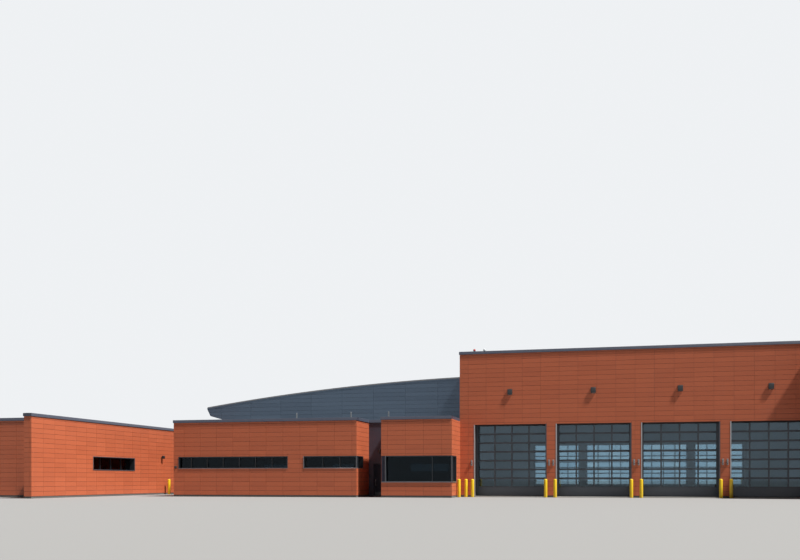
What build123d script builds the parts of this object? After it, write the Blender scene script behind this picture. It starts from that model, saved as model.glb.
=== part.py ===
from build123d import *
from typing import NamedTuple
import os

# Fire station at half its real size. Every length is in model millimetres.
# The long front faces -Y, +X is to its right, and the ground is at Z = 0.

# Plan, from the left end of the wing to the right face of the engine bay
wing_width = 6000
passage_width = 2585
office_length = 6645
recess_width = 860
watch_length = 2360

# Plan, from the front of the wing's blade wall backwards
wing_blade_reach = 1900
wing_reach = 2500
bay_setback = 1500
bay_depth = 20000
low_depth = 14700
link_setback = 7700
hall_setback = 3700
hall_depth = 8000

# Walls, roofs and floors
low_height = 2665
bay_height = 4930
coping_height = 100
coping_overhang = 30
low_wall = 170
bay_side_wall = 200
blade_thickness = 250
bay_end_depth = 550
parapet_height = 180
low_roof_thickness = 125
bay_roof_thickness = 150
floor_thickness = 30
joint_gap = 1
seat_gap = 0.3

# Engine bay doors, the same at the front and at the rear
door_count = 4
door_width = 2440
door_height = 2440
door_pitch = 2743
first_pier_width = 480
last_pier_width = 151
door_setback = 500
section_count = 8
column_count = 4
leaf_thickness = 25
stile_width = 75
mullion_width = 35
rail_height = 22
section_joint = 0.5
door_glass_thickness = 6
jamb_trim_width = 34
jamb_trim_depth = 60
jamb_trim_proud = 16

# Window bands
window_sill = 975
window_head = 1375
office_window_offset = 180
office_window_width = 4040
window_gap = 575
window_wrap = 750
office_bar_pitch = 600
watch_sill_height = 500
watch_head = 1368
watch_window_offset = 135
watch_bar_inset = 660
wing_sill = 925
wing_head = 1385
wing_window_start = 3450
wing_window_width = 2800
wing_pane_count = 4
rear_window_count = 4
rear_window_width = 2020
rear_window_pitch = 4000
rear_window_start = 1600
rear_pane_count = 3
frame_face = 22
frame_proud = 20
frame_lip = 10
bar_depth = 30
bar_setback = 80
wing_bar_setback = 140
glass_thickness = 6
sill_plate_height = 16
sill_plate_reach = 30

# Curved hall on the low roof
hall_wall = 150
hall_roof_thickness = 70
hall_roof_overhang = 20
hall_left_height = 3380
hall_ridge_drop = 620
hall_roof_sagitta = 160
hall_end_overhang = 485
hall_end_height = 320
hall_end_slant = 125
belly_length = 4400
belly_sagitta = 150
belly_skin_x = 70
belly_skin_z = 55

# Door in the recess
recess_frame_width = 510
recess_frame_height = 1135
frame_jamb = 25
frame_return = 60
leaf_gap = 5
recess_leaf_thickness = 24
hinge_radius = 4
hinge_standoff = 6
hinge_height = 50
hinge_count = 3
hinge_inset = 130
pull_length = 200
pull_radius = 6
pull_standoff = 28
pull_height = 475
pull_inset = 45

# Lights and guards
lamp_radius = 85
lamp_height = 190
lamp_standoff = 60
lamp_arm = 56
lamp_centre_height = 3525
sconce_radius = 60
sconce_height = 120
sconce_standoff = 25
sconce_arm = 40
recess_sconce_height = 1565
wing_sconce_height = 1475
wing_sconce_start = 8350
signal_radius = 22
signal_length = 60
signal_pitch = 96
signal_plate_width = 56
signal_plate_height = 196
signal_plate_depth = 12
signal_height = 1200
signal_inset = 80
bollard_radius = 55
bollard_height = 610
bollard_crown = 20
bollard_crown_taper = 45
bollard_setback = 300
bollard_spread = 155
corner_bollard_offset = 260
wall_bollard_gap = 40
wall_bollard_reach = 700
wing_bollard_start = 8600
wing_bollard_offset = 200
beacon_radius = 45
beacon_height = 90
beacon_offset = 480
beacon_spacing = 345
vent_radius = 25
vent_height = 620
vent_setback = 2200
vent_offsets = (3735, 5790, 7175)
bell_radius = 45
bell_depth = 70
bell_height = 1026
bell_inset = 75

# Flat sides that stand for a round section
round_sides = 16
small_round_sides = 12

# Places along X
doors_length = (door_count - 1) * door_pitch + door_width
bay_length = first_pier_width + doors_length + last_pier_width + blade_thickness
total_length = wing_width + passage_width + office_length + recess_width + watch_length + bay_length
x_wing_left = -total_length / 2
x_wing_right = x_wing_left + wing_width
x_office_left = x_wing_right + passage_width
x_office_right = x_office_left + office_length
x_watch_left = x_office_right + recess_width
x_bay_left = x_watch_left + watch_length
x_bay_right = x_bay_left + bay_length
x_blade_left = x_bay_right - blade_thickness

# Places along Y, with the wing's coping as the foremost edge and the rear guards as the last
built_depth = wing_blade_reach + wing_reach + bay_setback + bay_depth
total_depth = coping_overhang + built_depth + bollard_setback + bollard_radius
y_wing_blade = coping_overhang - total_depth / 2
y_wing_front = y_wing_blade + wing_blade_reach
y_front = y_wing_front + wing_reach
y_bay_front = y_front + bay_setback
y_bay_rear = y_bay_front + bay_depth
y_low_rear = y_front + low_depth
y_link_front = y_front + link_setback
y_hall_front = y_front + hall_setback
y_hall_rear = y_hall_front + hall_depth
y_recess_back = y_bay_front + low_wall
y_link_back = y_link_front + low_wall

# Heights
hall_right_height = bay_height - hall_ridge_drop
low_wall_top = low_height - coping_height
bay_wall_top = bay_height - coping_height
low_roof_top = low_wall_top - parapet_height
bay_roof_top = bay_wall_top - parapet_height
section_height = (door_height - floor_thickness) / section_count


def block(x_span, y_span, z_span, mode=Mode.ADD):
    """A box between two limits on each axis, in the part being built."""
    spans = (x_span, y_span, z_span)
    centre = tuple((low + high) / 2 for low, high in spans)
    length, width, height = (high - low for low, high in spans)
    with Locations(centre):
        Box(length, width, height, mode=mode)


def upright(x, y, z):
    """A vertical plane that faces the front, with +X to its right."""
    return Plane(origin=(x, y, z), x_dir=(1, 0, 0), z_dir=(0, -1, 0))


def door_left(index):
    return x_bay_left + first_pier_width + index * door_pitch


def end_spans(front):
    """Y limits of the engine bay's end wall, and the sign from its outer face inwards."""
    if front:
        return (y_bay_front, y_bay_front + bay_end_depth), y_bay_front, 1
    return (y_bay_rear - bay_end_depth, y_bay_rear), y_bay_rear, -1


def span_from(face, start, end, inwards):
    """Y limits of something that lies start to end behind an outer face."""
    return tuple(sorted((face + inwards * start, face + inwards * end)))


def bay_piers():
    """The wall beside and between the doors, at the front and at the rear."""
    edges = [x_bay_left]
    for index in range(door_count):
        edges += [door_left(index), door_left(index) + door_width]
    edges.append(x_blade_left)
    with BuildPart() as piers:
        for front in (True, False):
            y_span = end_spans(front)[0]
            for low, high in zip(edges[::2], edges[1::2]):
                block((low, high), y_span, (0, door_height))
    return piers


def bay_headers():
    """The wall over the doors, with a thinner parapet above the roof."""
    x_span = (x_bay_left, x_blade_left)
    corner = (x_bay_left, x_bay_left + bay_side_wall)
    with BuildPart() as headers:
        for front in (True, False):
            y_span, face, inwards = end_spans(front)
            parapet_span = span_from(face, 0, bay_side_wall, inwards)
            block(x_span, y_span, (door_height, bay_roof_top))
            block(x_span, parapet_span, (bay_roof_top, bay_wall_top))
            block(corner, y_span, (bay_roof_top, bay_wall_top))
    return headers


def bay_left_wall():
    y_span = (y_bay_front + bay_end_depth, y_bay_rear - bay_end_depth)
    with BuildPart() as wall:
        block((x_bay_left, x_bay_left + bay_side_wall), y_span, (0, bay_wall_top))
    return wall


def bay_right_wall():
    with BuildPart() as wall:
        block((x_blade_left, x_bay_right), (y_front, y_bay_rear), (0, bay_wall_top))
    return wall


def bay_roof():
    x_span = (x_bay_left + bay_side_wall, x_blade_left)
    y_span = (y_bay_front + bay_end_depth, y_bay_rear - bay_end_depth)
    with BuildPart() as roof:
        block(x_span, y_span, (bay_roof_top - bay_roof_thickness, bay_roof_top))
    return roof


def bay_floor():
    x_span = (x_bay_left + bay_side_wall, x_blade_left)
    y_span = (y_bay_front + bay_end_depth, y_bay_rear - bay_end_depth)
    with BuildPart() as floor:
        block(x_span, y_span, (0, floor_thickness))
        for index in range(door_count):
            opening = (door_left(index), door_left(index) + door_width)
            block(opening, (y_bay_front, y_bay_rear), (0, floor_thickness))
    return floor


def door_sections(index, front):
    """Seven glazed sections over a plain one, in the depth of the end wall."""
    y_span, face, inwards = end_spans(front)
    leaf_width = door_width - 2 * seat_gap
    lite_pitch = (leaf_width - 2 * stile_width + mullion_width) / column_count
    lite_width = lite_pitch - mullion_width
    panel_height = section_height - section_joint
    leaf_span = span_from(face, door_setback, door_setback + leaf_thickness, inwards)
    centre_x = door_left(index) + door_width / 2
    for section in range(section_count):
        centre_z = floor_thickness + section * section_height + section_height / 2
        with BuildSketch(upright(centre_x, leaf_span[1], centre_z)) as panel:
            Rectangle(leaf_width, panel_height)
            if section > 0:
                with GridLocations(lite_pitch, 0, column_count, 1):
                    Rectangle(lite_width, panel_height - 2 * rail_height, mode=Mode.SUBTRACT)
        extrude(panel.sketch, amount=leaf_thickness)


def front_door(index):
    with BuildPart() as door:
        door_sections(index, True)
    return door


def rear_doors():
    with BuildPart() as doors:
        for index in range(door_count):
            door_sections(index, False)
    return doors


def bay_door_glass():
    glass_start = door_setback + leaf_thickness
    z_span = (floor_thickness + section_height, door_height - section_joint)
    with BuildPart() as glass:
        for front in (True, False):
            y_span, face, inwards = end_spans(front)
            sheet_span = span_from(face, glass_start, glass_start + door_glass_thickness, inwards)
            for index in range(door_count):
                left = door_left(index) + seat_gap
                block((left, left + door_width - 2 * seat_gap), sheet_span, z_span)
    return glass


def bay_jamb_trims():
    z_span = (floor_thickness, door_height)
    with BuildPart() as trims:
        for front in (True, False):
            y_span, face, inwards = end_spans(front)
            trim_span = span_from(face, -jamb_trim_proud, jamb_trim_depth, inwards)
            for index in range(door_count):
                left = door_left(index)
                right = left + door_width
                block((left, left + jamb_trim_width), trim_span, z_span)
                block((right - jamb_trim_width, right), trim_span, z_span)
    return trims


def coping_strips(strips, top):
    """Cap strips on walls, each given by the wall's own X and Y limits."""
    with BuildPart() as coping:
        for x_span, y_span in strips:
            block(x_span, y_span, (top - coping_height, top))
    return coping


def bay_coping():
    over = coping_overhang
    left = (x_bay_left - over, x_bay_left + bay_side_wall + over)
    right = (x_blade_left - over, x_bay_right + over)
    front = (y_bay_front - over, y_bay_front + bay_side_wall + over)
    rear = (y_bay_rear - bay_side_wall - over, y_bay_rear + over)
    across = (left[0], right[0] - joint_gap)
    return coping_strips([
        (across, front),
        (across, rear),
        (left, (front[1] + joint_gap, rear[0] - joint_gap)),
        (right, (y_front - over, y_bay_rear + over)),
    ], bay_height)


def office_windows_x():
    """X limits of the office block's two front windows. The second one ends at the corner."""
    first_left = x_office_left + office_window_offset
    first_right = first_left + office_window_width
    return (first_left, first_right), (first_right + window_gap, x_office_right)


def office_front_wall():
    first, second = office_windows_x()
    y_span = (y_front, y_front + low_wall)
    with BuildPart() as wall:
        block((x_office_left, x_office_right), y_span, (0, low_wall_top))
        block(first, y_span, (window_sill, window_head), Mode.SUBTRACT)
        block(second, y_span, (window_sill, window_head), Mode.SUBTRACT)
    return wall


def office_side_walls():
    """The wall beside the passage, and the return to the recess with its window notch."""
    left = (x_office_left, x_office_left + low_wall)
    right = (x_office_right - low_wall, x_office_right)
    wrap = (y_front + low_wall, y_front + window_wrap)
    with BuildPart() as walls:
        block(left, (y_front + low_wall, y_link_back), (0, low_wall_top))
        block(right, (y_front + low_wall, y_recess_back), (0, low_wall_top))
        block(right, wrap, (window_sill, window_head), Mode.SUBTRACT)
    return walls


class Band(NamedTuple):
    """A window band: its run along the wall, the wall's outer face, its heights and its bars."""
    span: tuple
    face: float
    z_span: tuple
    bars: list
    along: str = "x"
    inwards: int = 1
    setback: float = bar_setback


def shrunk(span, amount):
    return span[0] + amount, span[1] - amount


def even_bars(span, pane_count):
    """Bar centres between panes of equal width."""
    pitch = (span[1] - span[0]) / pane_count
    return [span[0] + index * pitch for index in range(1, pane_count)]


def office_bars(span):
    """Bar centres set out from the right-hand end, with the odd pane at the left."""
    count = int((span[1] - span[0] - 2 * frame_face) / office_bar_pitch)
    return [span[1] - index * office_bar_pitch for index in range(1, count + 1)]


def band_box(band, run, depth_span, heights, mode=Mode.ADD):
    """A box along a window band, between two depths behind the wall's outer face."""
    across = span_from(band.face, *depth_span, band.inwards)
    if band.along == "x":
        block(run, across, heights, mode)
    else:
        block(across, run, heights, mode)


def ring_depth(band):
    return band.setback + bar_depth + glass_thickness + frame_lip


def window_frames(bands):
    """A metal surround and the upright bars for each band."""
    with BuildPart() as frames:
        for band in bands:
            ring = (-frame_proud, ring_depth(band))
            band_box(band, band.span, ring, band.z_span)
            inside = shrunk(band.span, frame_face)
            band_box(band, inside, ring, shrunk(band.z_span, frame_face), Mode.SUBTRACT)
            for centre in band.bars:
                run = (centre - frame_face / 2, centre + frame_face / 2)
                band_box(band, run, (band.setback, band.setback + bar_depth), band.z_span)
    return frames


def window_glass(bands):
    """One sheet of glass behind the bars of each band."""
    inset = frame_face + seat_gap
    with BuildPart() as glass:
        for band in bands:
            start = band.setback + bar_depth
            depth_span = (start, start + glass_thickness)
            band_box(band, shrunk(band.span, inset), depth_span, shrunk(band.z_span, inset))
    return glass


def corner_bands(x_span, z_span, bars):
    """A front band and its return round the right-hand corner of a block."""
    front = Band(x_span, y_front, z_span, bars)
    side_run = (y_front + ring_depth(front) + joint_gap, y_front + window_wrap)
    return [front, Band(side_run, x_span[1], z_span, [], "y", -1)]


def office_bands():
    first, second = office_windows_x()
    z_span = (window_sill, window_head)
    first_band = Band(first, y_front, z_span, office_bars(first))
    return [first_band] + corner_bands(second, z_span, office_bars(second))


def watch_bands():
    x_span = (x_watch_left + watch_window_offset, x_bay_left)
    z_span = (watch_sill_height + sill_plate_height, watch_head)
    return corner_bands(x_span, z_span, [x_bay_left - watch_bar_inset])


def side_bands():
    """The wing's window on its right-hand face, and the row along the rear wall."""
    run, wing_z = wing_window_run(), (wing_sill, wing_head)
    bands = [Band(run, x_wing_right, wing_z, even_bars(run, wing_pane_count), "y", -1, wing_bar_setback)]
    for run in rear_windows_x():
        z_span = (window_sill, window_head)
        bands.append(Band(run, y_low_rear, z_span, even_bars(run, rear_pane_count), "x", -1))
    return bands


def watch_front_wall():
    y_span = (y_front, y_front + low_wall)
    with BuildPart() as wall:
        block((x_watch_left, x_bay_left), y_span, (0, low_wall_top))
        block((x_watch_left, x_bay_left), y_span, (watch_sill_height, watch_head), Mode.SUBTRACT)
    return wall


def watch_window_infill():
    """The dark panel between the watch room's window and the recess."""
    x_span = (x_watch_left, x_watch_left + watch_window_offset)
    z_span = (watch_sill_height + sill_plate_height, watch_head)
    with BuildPart() as infill:
        block(x_span, (y_front, y_front + low_wall), z_span)
    return infill


def watch_side_walls():
    y_span = (y_front + low_wall, y_recess_back)
    right = (x_bay_left - low_wall, x_bay_left)
    wrap = (y_front + low_wall, y_front + window_wrap)
    with BuildPart() as walls:
        block((x_watch_left, x_watch_left + low_wall), y_span, (0, low_wall_top))
        block(right, y_span, (0, low_wall_top))
        block(right, wrap, (watch_sill_height, watch_head), Mode.SUBTRACT)
    return walls


def watch_sill():
    """A light metal plate that carries the watch room's glass round the corner."""
    z_span = (watch_sill_height, watch_sill_height + sill_plate_height)
    reach = sill_plate_reach
    with BuildPart() as sill:
        block((x_watch_left, x_bay_left + reach), (y_front - reach, y_front + low_wall), z_span)
        side_y = (y_front + low_wall, y_front + window_wrap)
        block((x_bay_left - low_wall, x_bay_left + reach), side_y, z_span)
    return sill


def recess_frame_x():
    """X limits of the door frame in the middle of the recess."""
    centre = (x_office_right + x_watch_left) / 2
    return centre - recess_frame_width / 2, centre + recess_frame_width / 2


def recess_leaf_x():
    return shrunk(recess_frame_x(), frame_jamb + leaf_gap)


def recess_side_walls():
    y_span = (y_bay_front, y_recess_back)
    left, right = recess_frame_x()
    with BuildPart() as walls:
        block((x_office_right, left), y_span, (0, low_wall_top))
        block((right, x_watch_left), y_span, (0, low_wall_top))
    return walls


def recess_head_wall():
    z_span = (recess_frame_height, low_wall_top)
    with BuildPart() as wall:
        block(recess_frame_x(), (y_bay_front, y_recess_back), z_span)
    return wall


def hinge_line():
    """X and Y of the hinge pins, just in front of the leaf's right edge."""
    return recess_leaf_x()[1] + leaf_gap / 2, y_bay_front - hinge_standoff


def leaf_heights():
    return floor_thickness + leaf_gap, recess_frame_height - frame_jamb - leaf_gap


def hinge_levels():
    low, high = shrunk(leaf_heights(), hinge_inset)
    return [low + (high - low) * index / (hinge_count - 1) for index in range(hinge_count)]


def knuckle(level, reach):
    """A hinge barrel centred on a level, with the tab that carries it to one side of the pin."""
    pin_x, pin_y = hinge_line()
    with BuildSketch(Plane.XY.offset(level - hinge_height / 2)) as section:
        with Locations((pin_x, pin_y)):
            RegularPolygon(hinge_radius, small_round_sides)
        with Locations((pin_x + reach / 2, pin_y + hinge_standoff / 2)):
            Rectangle(abs(reach), hinge_standoff)
    extrude(section.sketch, amount=hinge_height)


def recess_door_frame():
    y_span = (y_bay_front, y_bay_front + frame_return)
    inner_top = recess_frame_height - frame_jamb
    tab = (frame_jamb + leaf_gap) / 2
    knuckle_step = hinge_height + seat_gap
    with BuildPart() as frame:
        block(recess_frame_x(), y_span, (floor_thickness, recess_frame_height))
        inside = shrunk(recess_frame_x(), frame_jamb)
        block(inside, y_span, (floor_thickness, inner_top), Mode.SUBTRACT)
        for level in hinge_levels():
            knuckle(level + knuckle_step, tab)
            knuckle(level - knuckle_step, tab)
    return frame


def recess_door():
    y_span = (y_bay_front, y_bay_front + recess_leaf_thickness)
    tab = (frame_jamb + leaf_gap) / 2
    with BuildPart() as leaf:
        block(recess_leaf_x(), y_span, leaf_heights())
        for level in hinge_levels():
            knuckle(level, -tab)
    return leaf


def recess_door_handle():
    """A pull with round bends, standing off the leaf's left side."""
    pull_x = recess_leaf_x()[0] + pull_inset
    pull_y = y_bay_front - pull_standoff
    low, high = pull_height - pull_length / 2, pull_height + pull_length / 2
    corners = [
        (pull_x, y_bay_front, low), (pull_x, pull_y, low),
        (pull_x, pull_y, high), (pull_x, y_bay_front, high),
    ]
    with BuildPart() as pull:
        with BuildLine():
            FilletPolyline(*corners, radius=2 * pull_radius)
        with BuildSketch(upright(*corners[0])):
            RegularPolygon(pull_radius, small_round_sides)
        sweep()
    return pull


def slabs(z_span):
    """Roof or floor slabs inside the walls of the low blocks, with joints between them."""
    gap = joint_gap
    inner_front = y_front + low_wall
    inner_rear = y_low_rear - low_wall
    with BuildPart() as slab:
        block((x_office_left + low_wall, x_bay_left), (y_recess_back, inner_rear), z_span)
        block(
            (x_office_left + low_wall, x_office_right - low_wall),
            (inner_front, y_recess_back - gap), z_span,
        )
        block(
            (x_watch_left + low_wall, x_bay_left - low_wall),
            (inner_front, y_recess_back - gap), z_span,
        )
        block(
            (x_wing_right - blade_thickness, x_office_left + low_wall - gap),
            (y_link_back, inner_rear), z_span,
        )
        block(
            (x_wing_left + low_wall, x_wing_right - blade_thickness - gap),
            (y_wing_front + low_wall, inner_rear), z_span,
        )
    return slab


def low_roof():
    return slabs((low_roof_top - low_roof_thickness, low_roof_top))


def ground_floor():
    return slabs((0, floor_thickness))


def recess_threshold():
    with BuildPart() as threshold:
        block(recess_frame_x(), (y_bay_front, y_recess_back), (0, floor_thickness))
    return threshold


def low_coping():
    over, gap = coping_overhang, joint_gap
    front = (y_front - over, y_front + low_wall + over)
    rear = (y_low_rear - low_wall - over, y_low_rear + over)
    wing_front = (y_wing_front - over, y_wing_front + low_wall + over)
    link_front = (y_link_front - over, y_link_back + over)
    recess_back = (y_bay_front - over, y_recess_back + over)
    blade = (x_wing_right - blade_thickness - over, x_wing_right + over)
    office_left = (x_office_left - over, x_office_left + low_wall + over)
    office_right = (x_office_right - low_wall - over, x_office_right + over)
    watch_left = (x_watch_left - over, x_watch_left + low_wall + over)
    watch_right = (x_bay_left - low_wall - over, x_bay_left)
    wing_left = (x_wing_left - over, x_wing_left + low_wall + over)
    return coping_strips([
        ((office_left[0], office_right[1]), front),
        (office_left, (front[1] + gap, link_front[0] - gap)),
        (office_right, (front[1] + gap, recess_back[1])),
        ((office_right[1] + gap, watch_left[0] - gap), recess_back),
        ((watch_left[0], watch_right[1]), front),
        (watch_left, (front[1] + gap, recess_back[1])),
        (watch_right, (front[1] + gap, recess_back[1])),
        ((wing_left[0], blade[0] - gap), wing_front),
        (blade, (y_wing_blade - over, link_front[0] - gap)),
        ((blade[0], office_left[1]), link_front),
        (wing_left, (wing_front[1] + gap, rear[0] - gap)),
        ((wing_left[0], x_bay_left), rear),
    ], low_height)


def wing_window_run():
    start = y_wing_blade + wing_window_start
    return start, start + wing_window_width


def wing_right_wall():
    x_span = (x_wing_right - blade_thickness, x_wing_right)
    with BuildPart() as wall:
        block(x_span, (y_wing_blade, y_link_back), (0, low_wall_top))
        block(x_span, wing_window_run(), (wing_sill, wing_head), Mode.SUBTRACT)
    return wall


def wing_front_wall():
    with BuildPart() as wall:
        block(
            (x_wing_left, x_wing_right - blade_thickness),
            (y_wing_front, y_wing_front + low_wall),
            (0, low_wall_top),
        )
    return wall


def wing_left_wall():
    with BuildPart() as wall:
        block(
            (x_wing_left, x_wing_left + low_wall),
            (y_wing_front + low_wall, y_low_rear),
            (0, low_wall_top),
        )
    return wall


def link_front_wall():
    with BuildPart() as wall:
        block((x_wing_right, x_office_left), (y_link_front, y_link_back), (0, low_wall_top))
    return wall


def rear_windows_x():
    start = x_wing_left + rear_window_start
    lefts = [start + index * rear_window_pitch for index in range(rear_window_count)]
    return [(left, left + rear_window_width) for left in lefts]


def rear_wall():
    y_span = (y_low_rear - low_wall, y_low_rear)
    with BuildPart() as wall:
        block((x_wing_left + low_wall, x_bay_left), y_span, (0, low_wall_top))
        for opening in rear_windows_x():
            block(opening, y_span, (window_sill, window_head), Mode.SUBTRACT)
    return wall


def hall_eaves(drop):
    """Left and right ends of the hall's roof line, lowered by drop."""
    left = x_office_left - hall_end_overhang
    return (left, hall_left_height - drop), (x_bay_left, hall_right_height - drop)


def belly_ends():
    """The belly's outer end and the point where it meets the low roof."""
    outer_x = x_office_left - hall_end_overhang + hall_end_slant
    return (outer_x, hall_left_height - hall_end_height), (outer_x + belly_length, low_roof_top)


def hall_profile(plane):
    """The hall's section under its roof: a low arc, an overhanging end and a hull-like belly."""
    top_left, top_right = hall_eaves(hall_roof_thickness)
    outer, inner = belly_ends()
    with BuildSketch(plane) as profile:
        with BuildLine():
            SagittaArc(top_left, top_right, hall_roof_sagitta)
            Polyline(top_right, (x_bay_left, low_roof_top), inner)
            SagittaArc(outer, inner, -belly_sagitta)
            Line(outer, top_left)
        make_face()
    return profile.sketch


def hall_walls():
    with BuildPart() as walls:
        for y_back in (y_hall_front + hall_wall, y_hall_rear):
            extrude(hall_profile(upright(0, y_back, 0)), amount=hall_wall)
    return walls


def hall_roof():
    """A curved roof sheet of even thickness over the hall's walls."""
    lower_left, lower_right = hall_eaves(hall_roof_thickness)
    upper_left, upper_right = hall_eaves(0)
    with BuildPart() as roof:
        with BuildSketch(upright(0, y_hall_rear + hall_roof_overhang, 0)):
            with BuildLine():
                SagittaArc(lower_left, lower_right, hall_roof_sagitta)
                Line(lower_right, upper_right)
                SagittaArc(upper_left, upper_right, hall_roof_sagitta)
                Line(upper_left, lower_left)
            make_face()
        extrude(amount=hall_depth + 2 * hall_roof_overhang)
    return roof


def hall_belly():
    """A skin along the hall's end and underside, between its front and rear walls."""
    inner_x = belly_ends()[1][0]
    y_span = shrunk((y_hall_front, y_hall_rear), hall_wall)
    length = y_span[1] - y_span[0]
    with BuildPart() as belly:
        extrude(hall_profile(upright(0, y_span[1], 0)), amount=length)
        inside = upright(belly_skin_x, y_span[1], belly_skin_z)
        extrude(hall_profile(inside), amount=length, mode=Mode.SUBTRACT)
        block((inner_x, x_bay_left), y_span, (low_roof_top, hall_right_height), Mode.SUBTRACT)
    return belly


def post(x, y, low, high, radius, sides=round_sides):
    """An upright bar with many flat sides."""
    with BuildSketch(Plane.XY.offset(low)) as section:
        with Locations((x, y)):
            RegularPolygon(radius, sides)
    extrude(section.sketch, amount=high - low)


def bay_wall_lights():
    """Upright cylinders over the doors, each held off the wall by a short square arm."""
    reach = lamp_standoff + lamp_radius
    arm = (lamp_centre_height - lamp_arm / 2, lamp_centre_height + lamp_arm / 2)
    shade = (lamp_centre_height - lamp_height / 2, lamp_centre_height + lamp_height / 2)
    with BuildPart() as lights:
        for front in (True, False):
            y_span, face, inwards = end_spans(front)
            for index in range(door_count):
                x = door_left(index) + door_width / 2
                post(x, face - inwards * reach, *shade, lamp_radius)
                block((x - lamp_arm / 2, x + lamp_arm / 2), span_from(face, -reach, 0, inwards), arm)
    return lights


def sconce(x, y, z, towards_wall):
    """A small upright lamp on a backplate. The wall lies in the direction given."""
    post(x, y, z - sconce_height / 2, z + sconce_height / 2, sconce_radius)
    reach = sconce_radius + sconce_standoff
    x_ends = sorted((x, x + towards_wall[0] * reach))
    y_ends = sorted((y, y + towards_wall[1] * reach))
    half_arm = sconce_arm / 2
    if towards_wall[0]:
        y_ends = (y - half_arm, y + half_arm)
    else:
        x_ends = (x - half_arm, x + half_arm)
    block(tuple(x_ends), tuple(y_ends), (z - half_arm, z + half_arm))


def small_wall_lights():
    """The lamps over the recessed door and on the wing, and the bell at the office's left end."""
    reach = sconce_radius + sconce_standoff
    recess_x = (x_office_right + x_watch_left) / 2
    with BuildPart() as lights:
        sconce(recess_x, y_bay_front - reach, recess_sconce_height, (0, 1))
        sconce(x_wing_right + reach, y_wing_blade + wing_sconce_start, wing_sconce_height, (-1, 0))
        with BuildSketch(upright(x_office_left + bell_inset, y_front, bell_height)) as bell:
            RegularPolygon(bell_radius, round_sides)
        extrude(bell.sketch, amount=bell_depth)
    return lights


def signal_light(x):
    """Two small lamps, one above the other, on a plate beside a door."""
    plane = upright(x, y_bay_front, signal_height - signal_pitch / 2)
    with BuildSketch(plane) as plate:
        Rectangle(signal_plate_width, signal_plate_height)
    extrude(plate.sketch, amount=signal_plate_depth)
    with BuildSketch(plane) as lenses:
        with GridLocations(0, signal_pitch, 1, 2):
            RegularPolygon(signal_radius, small_round_sides)
    extrude(lenses.sketch, amount=signal_length)


def bay_signal_lights():
    with BuildPart() as lights:
        for index in range(door_count):
            signal_light(door_left(index) - signal_inset)
            signal_light(door_left(index) + door_width + signal_inset)
    return lights


def bollard(x, y):
    shoulder = bollard_height - bollard_crown
    post(x, y, 0, shoulder, bollard_radius)
    with BuildSketch(Plane.XY.offset(shoulder)) as crown:
        with Locations((x, y)):
            RegularPolygon(bollard_radius, round_sides)
    extrude(crown.sketch, amount=bollard_crown, taper=bollard_crown_taper)


def bollard_places():
    places = []
    for index in range(1, door_count):
        pier_centre = (door_left(index) + door_left(index - 1) + door_width) / 2
        places += [pier_centre - bollard_spread, pier_centre + bollard_spread]
    places.append(door_left(0))
    places.append(door_left(door_count - 1) + door_width)
    return places


def bollards():
    with BuildPart() as posts:
        for x in bollard_places():
            bollard(x, y_bay_front - bollard_setback)
            bollard(x, y_bay_rear + bollard_setback)
        bollard(x_bay_left + corner_bollard_offset, y_bay_front - bollard_setback)
        bollard(x_bay_left + bollard_radius + wall_bollard_gap, y_bay_front - wall_bollard_reach)
        bollard(x_wing_right + wing_bollard_offset, y_wing_blade + wing_bollard_start)
    return posts


def roof_beacons():
    """Two small lamps on the coping over the first door."""
    y = y_bay_front + bay_side_wall / 2
    with BuildPart() as beacons:
        for index in range(2):
            x = x_bay_left + beacon_offset + index * beacon_spacing
            post(x, y, bay_height, bay_height + beacon_height, beacon_radius)
    return beacons


def roof_vents():
    top = low_roof_top + vent_height
    with BuildPart() as vents:
        for offset in vent_offsets:
            post(x_office_left + offset, y_front + vent_setback, low_roof_top, top, vent_radius)
    return vents


pieces = {
    "bay_piers": bay_piers(),
    "bay_headers": bay_headers(),
    "bay_left_wall": bay_left_wall(),
    "bay_right_wall": bay_right_wall(),
    "bay_roof": bay_roof(),
    "bay_floor": bay_floor(),
    "bay_coping": bay_coping(),
    "bay_door_glass": bay_door_glass(),
    "bay_jamb_trims": bay_jamb_trims(),
    "bay_wall_lights": bay_wall_lights(),
    "bay_signal_lights": bay_signal_lights(),
    "bollards": bollards(),
    "roof_beacons": roof_beacons(),
    "office_front_wall": office_front_wall(),
    "office_side_walls": office_side_walls(),
    "office_window_frames": window_frames(office_bands()),
    "office_window_glass": window_glass(office_bands()),
    "recess_side_walls": recess_side_walls(),
    "recess_head_wall": recess_head_wall(),
    "recess_threshold": recess_threshold(),
    "recess_door_frame": recess_door_frame(),
    "recess_door": recess_door(),
    "recess_door_handle": recess_door_handle(),
    "watch_front_wall": watch_front_wall(),
    "watch_side_walls": watch_side_walls(),
    "watch_window_infill": watch_window_infill(),
    "watch_window_frame": window_frames(watch_bands()),
    "watch_window_glass": window_glass(watch_bands()),
    "watch_sill": watch_sill(),
    "low_roof": low_roof(),
    "low_coping": low_coping(),
    "ground_floor": ground_floor(),
    "hall_walls": hall_walls(),
    "hall_roof": hall_roof(),
    "hall_belly": hall_belly(),
    "wing_right_wall": wing_right_wall(),
    "wing_front_wall": wing_front_wall(),
    "wing_left_wall": wing_left_wall(),
    "link_front_wall": link_front_wall(),
    "rear_wall": rear_wall(),
    "side_window_frames": window_frames(side_bands()),
    "side_window_glass": window_glass(side_bands()),
    "small_wall_lights": small_wall_lights(),
    "roof_vents": roof_vents(),
}
for index in range(door_count):
    pieces[f"bay_front_door_{index + 1}"] = front_door(index)
pieces["bay_rear_doors"] = rear_doors()

os.makedirs("parts", exist_ok=True)
for name, piece in pieces.items():
    piece.part.label = name
    export_step(piece.part, f"parts/{name}.step")
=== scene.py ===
from math import asin, atan2, ceil, cos, floor, pi, radians, sin

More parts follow.
